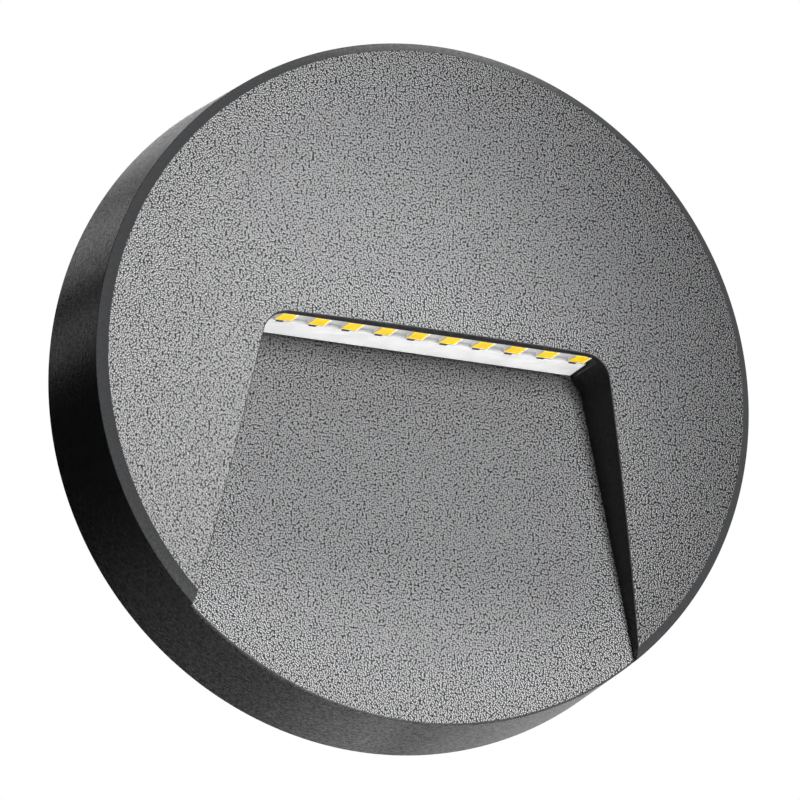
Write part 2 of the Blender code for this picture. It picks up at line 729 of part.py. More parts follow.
def make_tray(head, plastic):
    """Shallow tray with pegs for the driver board and an ear at each end."""
    mesh, centre = span_block("driver_tray", (-tray_half_width, tray_bottom, tray_depth),
                              (tray_half_width, tray_top, tray_depth + tray_rim))
    tray = put("driver_tray", mesh, plastic, head, centre)
    inside_x = tray_half_width - tray_wall
    mesh, centre = span_block("tray_inside", (-inside_x, tray_bottom + tray_wall, tray_depth + tray_floor),
                              (inside_x, tray_top - tray_wall, tray_depth + tray_rim + overrun))
    boolean(tray, put_cutter("tray_inside", mesh, head, centre))
    pegs = []
    holes = []
    for side in (-1, 1):
        low_x, high_x = sorted((side * (inside_x + tray_wall / 2), side * (tray_half_width + tray_ear_reach)))
        ear_back = tray_depth + tray_ear_step
        mesh, centre = span_block("ear", (low_x, tray_middle - tray_ear_width / 2, ear_back),
                                  (high_x, tray_middle + tray_ear_width / 2, tray_ear_front))
        boolean(tray, put_cutter(f"ear_{side}", mesh, head, centre), "UNION")
        foot = (side * tray_ear_x, tray_middle, tray_depth - overrun)
        holes.append((screw_radius + slide_gap, tray_rim, foot, (0, 0, 1)))
        for level in (-1, 1):
            place = (side * (inside_x - peg_inset), tray_middle + level * (driver_half_y - peg_inset),
                     tray_depth + tray_floor / 2)
            pegs.append((peg_radius, peg_height + tray_floor / 2, place, (0, 0, 1)))
    boolean(tray, put_cutter("pegs", rods_mesh("pegs", pegs), head), "UNION")
    boolean(tray, put_cutter("ear_holes", rods_mesh("ear_holes", holes), head))
    return tray


def standing_block(name, width, height, depth):
    """A box that stands on its own origin."""
    mesh = block_mesh(name, width, height, depth)
    for vertex in mesh.vertices:
        vertex.co.z += depth / 2
    return mesh


def driver_size(name):
    """Width, length and height of a part on the driver board, which just clears the front above it."""
    x_share, y_share, width_share, length_share, height_share = driver_shares[name]
    width, length = width_share * driver_half_x, length_share * driver_half_y
    far_x = abs(x_share) * driver_half_x + width / 2
    far_y = tray_middle + y_share * driver_half_y + length / 2
    corner = math.hypot(far_x, far_y)
    room = front_surface(corner) - front_wall - driver_face - 2 * gap
    return width, length, room * height_share


def on_board(name, mesh, material, head, x=0, y=0, lift=0):
    """Places a part at its share of the driver board, with a further shift if it is part of another."""
    x_share, y_share = driver_shares[name][:2] if name in driver_shares else (0, 0)
    place = (x_share * driver_half_x + x, tray_middle + y_share * driver_half_y + y, driver_face + gap + lift)
    return put(name, mesh, material, head, place)


def make_driver(head, paints):
    """The driver board and what is soldered to it."""
    mesh, centre = span_block("driver_board", (-driver_half_x, tray_middle - driver_half_y, driver_back),
                              (driver_half_x, tray_middle + driver_half_y, driver_face))
    put("driver_board", mesh, paints["circuit"], head, centre)
    make_transformer(head, paints)
    make_can("input_capacitor", head, paints["sleeve"])
    make_can("output_capacitor", head, paints["sleeve"])
    make_choke(head, paints["ferrite"])
    film_size = driver_size("film_capacitor")
    film = on_board("film_capacitor", standing_block("film_capacitor", *film_size), paints["film"], head)
    soften(film, film_size[1] / 8)
    for name in ("bridge_rectifier", "driver_chip"):
        on_board(name, standing_block(name, *driver_size(name)), paints["resin"], head)
    width, length, height = driver_size("input_fuse")
    fuse_rod = rod_mesh("input_fuse", min(width, length) / 2, height)
    fuse = on_board("input_fuse", fuse_rod, paints["ceramic"], head)
    smooth(fuse)
    make_terminal(head, paints)


def make_transformer(head, paints):
    """Core and taped winding, potted into one piece."""
    width, length, height = driver_size("transformer")
    wound_width_share, wound_length_share, wound_lift_share, wound_height_share = 0.62, 1.27, 0.08, 1.05
    core = standing_block("transformer", width, length, height)
    piece = on_board("transformer", core, paints["ferrite"], head)
    winding = standing_block("winding", width * wound_width_share, length * wound_length_share,
                             height * wound_height_share)
    boolean(piece, put_cutter("winding", winding, piece, (0, 0, height * wound_lift_share)), "UNION")
    return piece


def make_can(name, head, material):
    """An upright electrolytic capacitor with its crimped neck."""
    width, length, height = driver_size(name)
    groove_share, neck_share = 0.12, 0.18
    radius = min(width, length) / 2
    groove = radius * groove_share
    neck = height * neck_share
    points = [(0, height), (radius - groove, height), (radius, height - groove), (radius, neck + groove),
              (radius - groove, neck), (radius, neck - groove), (radius, 0), (0, 0)]
    piece = on_board(name, profile_mesh(name, points, False), material, head)
    spin(piece, BUSH_STEPS)
    return piece


def make_choke(head, material):
    """Drum choke: two flanges and a wound waist."""
    width, length, height = driver_size("line_choke")
    flange_share, waist_share = 0.17, 0.85
    radius = min(width, length) / 2
    flange = height * flange_share
    waist = radius * waist_share
    points = [(0, height), (radius, height), (radius, height - flange), (waist, height - flange),
              (waist, flange), (radius, flange), (radius, 0), (0, 0)]
    piece = on_board("line_choke", profile_mesh("line_choke", points, False), material, head)
    spin(piece, BUSH_STEPS)
    return piece


def make_terminal(head, paints):
    """Two-pole screw terminal for the mains wires, at the board's right end."""
    width, length, height = driver_size("input_terminal")
    well_share, floor_share, clamp_share, entry_share = 0.24, 0.55, 0.3, 0.37
    well_radius = width * well_share
    well_floor = height * floor_share
    clamp_height = height * clamp_share
    entry_size = width * entry_share
    terminal_x = driver_shares["input_terminal"][0] * driver_half_x
    terminal_y = driver_shares["input_terminal"][1] * driver_half_y
    piece = on_board("input_terminal", standing_block("input_terminal", width, length, height),
                     paints["terminal"], head)
    for i, side in enumerate((-1, 1)):
        y = side * length / 4
        entry = block_mesh("entry", width / 2, entry_size, entry_size)
        boolean(piece, put_cutter(f"entry_{i}", entry, piece, (width / 2, y, clamp_height)))
        well = rod_mesh("well", well_radius, height)
        boolean(piece, put_cutter(f"well_{i}", well, piece, (0, y, well_floor)))
        clamp = rod_mesh("terminal_screw", well_radius - slide_gap, clamp_height)
        screw = on_board(f"terminal_screw_{i + 1}", clamp, paints["steel"], head, terminal_x, terminal_y + y,
                         well_floor + gap)
        slot = block_mesh("driver_slot", 3 * well_radius, well_radius / 3, clamp_height / 2)
        boolean(screw, put_cutter(f"terminal_slot_{i}", slot, screw, (0, 0, clamp_height)))
    return piece


def wire(name, route, radius, material, head):
    """A wire as a round tube along a smooth curve through hand-chosen points."""
    curve = bpy.data.curves.new(name, "CURVE")
    curve.dimensions = "3D"
    curve.bevel_depth = radius
    curve.bevel_resolution = 2
    curve.use_fill_caps = True
    points = smooth_route(route, 5)
    spline = curve.splines.new("POLY")
    spline.points.add(len(points) - 1)
    for target, point in zip(spline.points, points):
        target.co = (*point, 1)
    holder = bpy.data.objects.new(name, curve)
    light.objects.link(holder)
    holder.parent = head
    curve.materials.append(material)
    return holder


def smooth_route(route, steps):
    """Catmull-Rom points through a route, with the ends kept."""
    nodes = [Vector(point) for point in route]
    nodes = [2 * nodes[0] - nodes[1]] + nodes + [2 * nodes[-1] - nodes[-2]]
    points = []
    for a, b, c, d in zip(nodes, nodes[1:], nodes[2:], nodes[3:]):
        for i in range(steps):
            t = i / steps
            points.append(0.5 * ((2 * b) + (c - a) * t + (2 * a - 5 * b + 4 * c - d) * t * t
                                 + (3 * b - a - 3 * c + d) * t ** 3))
    points.append(nodes[-2])
    return points


def make_led_wires(head, paints):
    """Two wires from the driver's lower edge down through the notch to the light board."""
    radius = led_wire_radius
    start_y = tray_middle - driver_half_y + 2 * radius
    over = tray_depth + tray_rim + 3 * radius
    land = board_back + wire_notch_depth / 2
    for name, side in (("red", -1), ("black", 1)):
        x = notch_x + side * wire_notch_width / 4
        route = [(x, start_y, driver_face + gap), (x, start_y, (driver_face + over) / 2 + radius),
                 (x, start_y - 3 * radius, over + radius), (x, (start_y + heat_bar_top) / 2 - radius, over),
                 (x, heat_bar_top - radius, land + radius), (x, heat_bar_bottom + 2 * radius, land),
                 (x, board_top + gap, land)]
        wire("led_wire_" + name, route, radius, paints[name], head)


def make_earth(head, paints):
    """Screw, ring lug and wire that bond the casting to the driver board."""
    eye_radius = screw_head_radius + gap
    outlines = [disc_with_ears(eye_radius, BUSH_STEPS, lug_reach, lug_tail_width / 2, (math.pi / 2,)),
                circle(screw_radius + slide_gap, HOLE_STEPS)]
    lug_depth = earth_boss_depth - gap - lug_thickness / 2
    put("earth_lug", plate_mesh("earth_lug", outlines, lug_thickness), paints["steel"], head,
        (earth_x, earth_y, lug_depth))
    make_screw("earth_screw", tray_screw_length, head, paints["steel"],
               (earth_x, earth_y, lug_depth - lug_thickness / 2 - gap), (math.pi, 0, 0))
    radius = earth_wire_radius
    tail_end = earth_y + lug_reach + gap
    land_x = -driver_half_x + 2 * radius
    land_y = tray_middle - driver_half_y + 2 * radius
    over = tray_depth + tray_rim + 3 * radius
    behind = board_back - 3 * radius
    route = [(earth_x, tail_end, lug_depth), (earth_x, tail_end + 3 * radius, lug_depth),
             (earth_x, heat_bar_bottom, behind), (earth_x + radius, heat_bar_top + radius, behind),
             ((earth_x - tray_half_width) / 2 - radius, land_y, (behind + over) / 2),
             (-tray_half_width, land_y, over + radius), (land_x, land_y, (driver_face + over) / 2 + radius),
             (land_x, land_y, driver_face + gap)]
    wire("earth_wire", route, radius, paints["earth"], head)


def make_fasteners(head, steel):
    for i, (x, y) in enumerate(cover_screw_places()):
        make_screw(f"cover_screw_{i + 1}", cover_screw_length, head, steel, (x, y, cover_depth - gap),
                   (math.pi, 0, 0))
    for name, side in (("left", -1), ("right", 1)):
        make_screw("bar_screw_" + name, bar_screw_length, head, steel,
                   (side * post_x, heat_bar_top + gap, bar_screw_depth), (-math.pi / 2, 0, 0))
        make_screw("tray_screw_" + name, tray_screw_length, head, steel,
                   (side * tray_ear_x, tray_middle, tray_depth + tray_ear_step - gap), (math.pi, 0, 0))


def build():
    clear_scene()
    paints = make_materials()
    root = bpy.data.objects.new("wall_light_stands_up", None)
    light.objects.link(root)
    root.rotation_euler = (math.pi / 2, 0, 0)
    head = bpy.data.objects.new("head_slides_off", None)
    light.objects.link(head)
    head.parent = root

    make_bracket(root, paints["steel"])
    make_housing(head, paints["paint"])
    for name, side in (("set_screw_left", -1), ("set_screw_right", 1)):
        make_set_screw(side, name, head, paints["grub"])
    ring("wall_gasket", inner_back_radius, inner_back_radius + rim_gasket_width, 0, rim_gasket_thickness,
         head, paints["rubber"])
    make_rear_cover(head, paints["steel"])
    ring("cover_gasket", cavity_radius + gap, cavity_radius + gap + cover_gasket_width, cover_front + gap,
         cover_gasket_thickness, head, paints["rubber"])
    make_grommet(head, paints["rubber"])
    make_vent(head, paints["vent"])
    make_light_row(head, paints)
    make_heat_bar(head, paints["aluminium"])
    make_tray(head, paints["tray"])
    make_driver(head, paints)
    make_led_wires(head, paints)
    make_earth(head, paints)
    make_fasteners(head, paints["steel"])


build()
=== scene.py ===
# %% [markdown]
# # A round wall light with a sloped recess
#
# This lesson dresses the solids of a small outdoor wall light for the camera. The solids already say
# how big everything is and where it sits. What is left is how the light looks: a cast housing with a
# wrinkled powder coat, a row of light chips over a ramp, and the plain metal and plastic behind them.

# %% Load the solids
import json
import math

import bmesh
import bpy
from mathutils import Matrix, Vector


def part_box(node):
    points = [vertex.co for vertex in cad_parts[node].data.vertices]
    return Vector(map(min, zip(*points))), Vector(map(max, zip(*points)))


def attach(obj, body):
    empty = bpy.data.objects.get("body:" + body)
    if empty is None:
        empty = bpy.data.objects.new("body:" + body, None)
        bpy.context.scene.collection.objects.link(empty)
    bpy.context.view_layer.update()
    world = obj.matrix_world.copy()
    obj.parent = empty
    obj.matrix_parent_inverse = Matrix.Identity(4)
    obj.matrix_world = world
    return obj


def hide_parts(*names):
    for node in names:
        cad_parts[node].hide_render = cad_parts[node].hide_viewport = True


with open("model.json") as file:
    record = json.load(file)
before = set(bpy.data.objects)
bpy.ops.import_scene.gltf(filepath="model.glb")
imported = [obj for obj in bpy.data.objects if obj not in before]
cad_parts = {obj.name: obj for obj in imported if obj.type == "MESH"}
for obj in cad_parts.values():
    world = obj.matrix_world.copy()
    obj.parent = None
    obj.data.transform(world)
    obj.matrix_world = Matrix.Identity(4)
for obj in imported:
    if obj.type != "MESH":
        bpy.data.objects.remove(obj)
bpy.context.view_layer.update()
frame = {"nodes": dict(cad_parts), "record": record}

# %% [markdown]
# ## The camera
#
# The photo was taken from the light's left and from a little below, with a long lens, so the round
# front shows as a slightly leaning ellipse. A camera can be turned by hand until it looks right, or
# worked out from the photo. This one was worked out: the front rim and the wall rim are circles of
# known size, and the camera that draws both where the photo has them is the one below.

# %% Aim the camera
view_azimuth = math.radians(-20.123)
view_elevation = math.radians(-14.96)
view_roll = math.radians(2.533)
view_distance = 1.2
focal_pixels = 6884.0
picture_width = 800
axis_pixel = (383.544, 408.733)


def upright_axes(forward):
    """Right and up of a level camera that looks along a direction."""
    right = forward.cross(Vector((0, 0, 1))).normalized()
    return right, right.cross(forward)


def aim_camera():
    """The camera at the photo's angle, turned so that the picture's middle needs no shift."""
    towards = Vector((math.sin(view_azimuth) * math.cos(view_elevation),
                      -math.cos(view_azimuth) * math.cos(view_elevation), math.sin(view_elevation)))
    right, up = upright_axes(-towards)
    leaning_right = math.cos(view_roll) * right + math.sin(view_roll) * up
    leaning_up = math.cos(view_roll) * up - math.sin(view_roll) * right
    middle = picture_width / 2
    aim = (-towards + leaning_right * (middle - axis_pixel[0]) / focal_pixels
           + leaning_up * (axis_pixel[1] - middle) / focal_pixels).normalized()
    across = (leaning_right - aim * leaning_right.dot(aim)).normalized()
    turn = Matrix((across, across.cross(aim), -aim)).transposed().to_4x4()
    camera = bpy.data.cameras.new("camera")
    camera.sensor_width = 36.0
    camera.lens = focal_pixels * camera.sensor_width / picture_width
    camera.clip_start = 0.01
    holder = bpy.data.objects.new("camera", camera)
    bpy.context.scene.collection.objects.link(holder)
    holder.matrix_world = Matrix.Translation(towards * view_distance) @ turn
    bpy.context.scene.camera = holder
    return holder


camera = aim_camera()
print("camera at", [round(x, 3) for x in camera.location], "lens", round(camera.data.lens, 1), "mm")

# %% [markdown]
# ## Wiring nodes
#
# Worlds, finishes and Geometry Nodes are all trees of nodes, and every node has to be made, set and
# fed. A few small helpers do that everywhere below: each named input takes either a value or the
# output of another node, so a whole node fits in one call and reads like a sentence.

# %% Feed and wire a node
def feed(tree, node, inputs):
    """Gives each named input a value, or the output that feeds it."""
    for label, value in inputs.items():
        if isinstance(value, bpy.types.NodeSocket):
            tree.links.new(value, node.inputs[label])
        else:
            node.inputs[label].default_value = value


def wired(tree, kind, inputs, **settings):
    """A new node with its own settings, fed in the same way."""
    node = tree.nodes.new(kind)
    for label, value in settings.items():
        setattr(node, label, value)
    feed(tree, node, inputs)
    return node


def mixed(tree, share, first, second, kind="FLOAT", **settings):
    """From the first value or colour to the second, by a share from 0 to 1."""
    return wired(tree, "ShaderNodeMix", {"Factor": share, "A": first, "B": second},
                 data_type=kind, **settings).outputs["Result"]


def worked(tree, operation, first, second):
    """One step of arithmetic on two values or outputs."""
    return wired(tree, "ShaderNodeMath", {0: first, 1: second}, operation=operation).outputs["Value"]


print("node helpers: feed, wired, mixed, worked")

# %% [markdown]
# ## The studio
#
# The photo is a catalogue picture: pure white behind, no shadow, and a soft light that makes the
# front bright at the left and lets it fall off to the right. The world is therefore white for the
# camera and nearly black for everything else, which a Light Path node can tell apart. The floor lies
# far enough below to stay out of the picture.

# %% Make the world and the floor
world_fill, floor_drop = 0.01, 0.9


def dim_white_world(strength):
    """White behind the object, and a dim fill from every side for what isn't seen directly."""
    world = bpy.data.worlds.new("studio")
    bpy.context.scene.world = world
    world.use_nodes = True
    tree = world.node_tree
    seen = wired(tree, "ShaderNodeLightPath", {}).outputs["Is Camera Ray"]
    feed(tree, tree.nodes["Background"], {"Color": (1, 1, 1, 1),
                                          "Strength": mixed(tree, seen, strength, 1.0)})


def lay_floor(depth):
    """A wide pale floor below the object."""
    shape = bmesh.new()
    bmesh.ops.create_grid(shape, x_segments=8, y_segments=8, size=3.0)
    bmesh.ops.translate(shape, vec=(0, 0, -depth), verts=shape.verts)
    mesh = bpy.data.meshes.new("floor")
    shape.to_mesh(mesh)
    shape.free()
    floor = bpy.data.objects.new("floor", mesh)
    bpy.context.scene.collection.objects.link(floor)
    material = bpy.data.materials.new("pale_floor")
    material.use_nodes = True
    shader = material.node_tree.nodes["Principled BSDF"]
    feed(material.node_tree, shader, {"Base Color": (0.85, 0.85, 0.85, 1), "Roughness": 0.8})
    mesh.materials.append(material)


dim_white_world(world_fill)
lay_floor(floor_drop)
bpy.context.scene.view_settings.view_transform = "Standard"
print("world fill", world_fill, "and floor", floor_drop, "m below")

# %% [markdown]
# A dark coat shows its light mostly as a sheen, so where the soft boxes stand matters more than how
# strong they are. Each was rendered alone, and the powers are the ones whose sum comes nearest to the
# greys of the photo. Weak lamps behind the wall plane draw the rim.

# %% Hang the soft boxes
def soft_box(name, place, side, power):
    """A square soft light that faces the object."""
    lamp = bpy.data.lights.new(name, "AREA")
    lamp.shape = "RECTANGLE"
    lamp.size = lamp.size_y = side
    lamp.energy = power
    box = bpy.data.objects.new(name, lamp)
    bpy.context.scene.collection.objects.link(box)
    box.location = place
    box.rotation_euler = (-Vector(place)).to_track_quat("-Z", "Y").to_euler()
    box.visible_camera = False
    return box


front_lamps = [("front_right", (0.14, -1.2, 0.05), 0.3, 37.6),
               ("front_high", (0.05, -1.2, 0.35), 0.3, 22.6),
               ("front_low", (0.14, -1.2, -0.25), 0.3, 5.2),
               ("over", (0.1, -0.9, 0.8), 0.4, 3.6),
               ("top", (0.35, 0.1, 1.1), 0.6, 2.5)]
rim_lamps = [("behind_top", (0.05, 1.2, 0.6), 0.25, 0.14),
             ("behind_high_right", (0.3, 1.2, 0.45), 0.25, 0.37),
             ("behind_left", (-0.28, 1.2, 0.6), 0.2, 0.12),
             ("behind_far_left", (-0.55, 1.15, 0.38), 0.15, 0.05),
             ("behind_low", (0.3, 1.2, -0.45), 0.3, 0.19),
             ("behind_screen", (0.7, 1.2, 0.05), 1.1, 2.3)]
soft_boxes = [soft_box(*lamp) for lamp in front_lamps + rim_lamps]
print("soft boxes:", [box.name for box in soft_boxes])

# %% [markdown]
# ## Helpers for the bench
#
# Every piece here is easiest to make lying on its back: x to the right, y up the wall and z out of
# the wall. One quarter turn then stands the mesh up, so the finished piece sits at the origin with
# its place in its mesh.

# %% Stand a mesh up and hand it over
stand_up = Matrix.Rotation(math.pi / 2, 4, "X")
mm = 0.001
finishes = {}


def loose_object(name, mesh):
    piece = bpy.data.objects.new(name, mesh)
    bpy.context.scene.collection.objects.link(piece)
    return piece


def as_mesh(name, shape):
    mesh = bpy.data.meshes.new(name)
    shape.to_mesh(mesh)
    shape.free()
    return mesh


def baked(piece, *helpers):
    """What the piece's modifiers make of it, as a plain mesh; the piece and its helpers go."""
    bpy.context.view_layer.update()
    graph = bpy.context.evaluated_depsgraph_get()
    result = bpy.data.meshes.new_from_object(piece.evaluated_get(graph))
    for item in (piece, *helpers):
        bpy.data.objects.remove(item)
    return result


def hand_over(name, mesh, body, slot, replaced=(), finish=None, bench=True):
    """The finished piece: stood up, painted, riding on its body and standing for its solids."""
    if bench:
        mesh.transform(stand_up)
    mesh.materials.clear()
    mesh.materials.append(finishes[finish or slot])
    mesh.name = name
    piece = loose_object(name, mesh)
    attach(piece, body)
    if replaced:
        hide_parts(*replaced)
    print(name, len(mesh.polygons), "faces")
    return piece


def bench_box(node):
    """A solid's lowest and highest corner in bench directions."""
    low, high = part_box(node)
    return Vector((low.x, low.z, -high.y)), Vector((high.x, high.z, -low.y))


print("bench helpers ready, 1 mm =", mm)

# %% [markdown]
# ## Shader groups that the finishes share
#
# A real surface is never one flat colour. Three small groups give every finish its unevenness:
# mottling for colour and roughness, wrinkle for the small rounded cells of the powder coat, and
# streaks for brushed or drawn metal. Each is built once and placed with its own sizes.

# %% Build the shader groups
def new_group(name, inputs, outputs):
    """An empty shader group: a place, then numbers or triples with their usual values, and numbers out."""
    tree = bpy.data.node_groups.new(name, "ShaderNodeTree")
    tree.interface.new_socket(name="Vector", in_out="INPUT", socket_type="NodeSocketVector")
    for label, value in inputs.items():
        kind = "NodeSocketFloat" if isinstance(value, float) else "NodeSocketVector"
        tree.interface.new_socket(name=label, in_out="INPUT", socket_type=kind).default_value = value
    for label in outputs:
        tree.interface.new_socket(name=label, in_out="OUTPUT", socket_type="NodeSocketFloat")
    return tree, tree.nodes.new("NodeGroupInput").outputs, tree.nodes.new("NodeGroupOutput")


def noise(tree, vector, scale, detail, roughness):
    return wired(tree, "ShaderNodeTexNoise", {"Vector": vector, "Scale": scale, "Detail": detail,
                                              "Roughness": roughness}).outputs["Fac"]


def build_mottling():
    """Broad patches and fine speckle, both from 0 to 1."""
    tree, given, end = new_group("mottling", {"Patches": 60.0, "Speckle": 900.0}, ["Broad", "Fine"])
    feed(tree, end, {"Broad": noise(tree, given["Vector"], given["Patches"], 3.0, 0.55),
                     "Fine": noise(tree, given["Vector"], given["Speckle"], 2.0, 0.55)})
    return tree


def build_wrinkle():
    """The height of a wrinkled coat: rounded cells like those of leather, with a finer grit over them."""
    tree, given, end = new_group("wrinkle", {"Ridges": 1500.0, "Grit": 4000.0}, ["Height"])
    cells = wired(tree, "ShaderNodeTexVoronoi", {"Vector": given["Vector"], "Scale": given["Ridges"]},
                  voronoi_dimensions="2D")
    domes = worked(tree, "SUBTRACT", 1.0, cells.outputs["Distance"])
    grit_share = 0.2
    feed(tree, end, {"Height": mixed(tree, grit_share, domes,
                                     noise(tree, given["Vector"], given["Grit"], 1.0, 0.5))})
    return tree


def build_streaks():
    """Long fine lines along one direction, from 0 to 1."""
    tree, given, end = new_group("streaks", {"Stretch": (60.0, 4000.0, 4000.0)}, ["Lines"])
    drawn = wired(tree, "ShaderNodeVectorMath", {0: given["Vector"], 1: given["Stretch"]},
                  operation="MULTIPLY")
    feed(tree, end, {"Lines": noise(tree, drawn.outputs["Vector"], 1.0, 3.0, 0.6)})
    return tree


mottling, wrinkle, streaks = build_mottling(), build_wrinkle(), build_streaks()
print("shader groups:", [tree.name for tree in (mottling, wrinkle, streaks)])

# %% [markdown]
# ## Plain finishes
#
# Steel, aluminium, rubber, plastics and ceramics differ in colour, gloss and grain but are mixed the
# same way: two close colours blended by the mottling, a roughness that wanders a little, and a fine
# bump. A small recipe makes each of them from those few numbers.

# %% Mix the plain finishes
def placed(tree, group, vector, **values):
    """A shader group with its own values; gives back its outputs."""
    return wired(tree, "ShaderNodeGroup", {"Vector": vector, **values}, node_tree=group).outputs


def spread(tree, source, low, high, lowest=0.3, highest=0.7, smooth=False):
    """Maps a pattern onto a range; most of a noise lies between lowest and highest."""
    return wired(tree, "ShaderNodeMapRange", {"Value": source, "From Min": lowest, "From Max": highest,
                                              "To Min": low, "To Max": high},
                 interpolation_type="SMOOTHSTEP" if smooth else "LINEAR").outputs["Result"]


def blend_colours(tree, source, first, second):
    return mixed(tree, spread(tree, source, 0.0, 1.0), (*first, 1), (*second, 1), "RGBA")


def bumped(tree, height, distance):
    return wired(tree, "ShaderNodeBump", {"Height": height, "Distance": distance,
                                          "Strength": 1.0}).outputs["Normal"]


def fresh_material(name):
    material = bpy.data.materials.new(name)
    material.use_nodes = True
    tree = material.node_tree
    place = tree.nodes.new("ShaderNodeTexCoord").outputs["Object"]
    return material, tree, tree.nodes["Principled BSDF"], place


def plain_finish(name, colour, second, roughness, metallic=0.0, patches=60.0, speckle=1500.0,
                 bump=0.02 * mm, lines=None):
    """One finish: two colours, a roughness range, how metallic it is, and its grain."""
    material, tree, shader, place = fresh_material(name)
    mottle = placed(tree, mottling, place, Patches=patches, Speckle=speckle)
    pattern = placed(tree, streaks, place, Stretch=lines)["Lines"] if lines else mottle["Fine"]
    feed(tree, shader, {"Base Color": blend_colours(tree, mottle["Broad"], colour, second),
                        "Roughness": spread(tree, pattern, *roughness),
                        "Normal": bumped(tree, pattern, bump), "Metallic": metallic})
    return material


steel = {"metallic": 1.0}
plain_looks = {
    "zinc_steel": ((0.55, 0.56, 0.58), (0.66, 0.67, 0.70), (0.28, 0.42), {"patches": 140.0, **steel}),
    "dark_steel": ((0.045, 0.045, 0.05), (0.075, 0.075, 0.08), (0.3, 0.45), steel),
    "plain_aluminium": ((0.66, 0.67, 0.68), (0.74, 0.75, 0.76), (0.35, 0.5),
                        {"lines": (80.0, 3000.0, 3000.0), **steel}),
    "black_rubber": ((0.018, 0.018, 0.018), (0.03, 0.03, 0.03), (0.7, 0.85), {}),
    "vent_white": ((0.78, 0.78, 0.76), (0.84, 0.84, 0.82), (0.45, 0.55), {}),
    "black_plastic": ((0.025, 0.025, 0.027), (0.035, 0.035, 0.037), (0.42, 0.55), {}),
    "green_board": ((0.02, 0.13, 0.055), (0.03, 0.18, 0.08), (0.3, 0.42), {}),
    "ferrite": ((0.045, 0.045, 0.05), (0.07, 0.07, 0.075), (0.55, 0.7), {"bump": 0.05 * mm}),
    "capacitor_sleeve": ((0.03, 0.05, 0.14), (0.045, 0.07, 0.19), (0.3, 0.4), {}),
    "film_yellow": ((0.68, 0.54, 0.10), (0.76, 0.62, 0.14), (0.38, 0.5), {}),
    "black_resin": ((0.02, 0.02, 0.02), (0.032, 0.032, 0.032), (0.45, 0.6), {}),
    "fuse_ceramic": ((0.76, 0.73, 0.66), (0.82, 0.79, 0.73), (0.3, 0.42), {}),
    "terminal_green": ((0.05, 0.27, 0.12), (0.07, 0.33, 0.16), (0.4, 0.5), {}),
    "red_wire": ((0.55, 0.025, 0.015), (0.64, 0.04, 0.03), (0.38, 0.5), {}),
    "black_wire": ((0.018, 0.018, 0.018), (0.028, 0.028, 0.028), (0.38, 0.5), {}),
    "earth_wire_green": ((0.08, 0.38, 0.05), (0.13, 0.46, 0.08), (0.38, 0.5), {}),
}
for name, (colour, second, roughness, more) in plain_looks.items():
    finishes[name] = plain_finish(name, colour, second, roughness, **more)
print("plain finishes:", len(finishes))

# %% [markdown]
# ## The powder coat
#
# The housing's coat is wrinkled on the front and on the ramp, nearly smooth on the chamfer, and fine
# on the side. Sprayed powder does that by itself: broad faces take a thick coat that wrinkles as it
# is baked, while edges and steep faces stay thin. The direction that a face points in therefore tells
# how coarse its grain is, and one material can cover the whole casting. A wrinkled coat shines on its
# crests and hardly in its folds, so the weight of the clear layer follows the same grain.

# %% Mix the powder coat
coat_dark = (0.0010, 0.0010, 0.0012)
coat_light = (0.0120, 0.0123, 0.0132)
# Painted light: the chamfer and the rounded edges take this lighter colour so that they show bright, as if
# lit.
chamfer_painted_light = (0.0180, 0.0183, 0.0190)
wrinkle_depth, side_grain_depth = 0.08 * mm, 0.02 * mm
face_sheen, side_sheen = 0.41, 0.27
recess_coat_share, side_starts, side_reached = 0.2, 58.0 * mm, 59.5 * mm


def coat_outside(tree, place, weight):
    """The clear layer's weight, cut down inside the recess, where sprayed powder hardly gets."""
    flat = wired(tree, "ShaderNodeVectorMath", {0: place, 1: (1, 0, 1)}, operation="MULTIPLY")
    apart = wired(tree, "ShaderNodeVectorMath", {0: flat.outputs["Vector"]}, operation="LENGTH")
    share = spread(tree, apart.outputs["Value"], recess_coat_share, 1.0, side_starts, side_reached)
    return worked(tree, "MULTIPLY", weight, share)


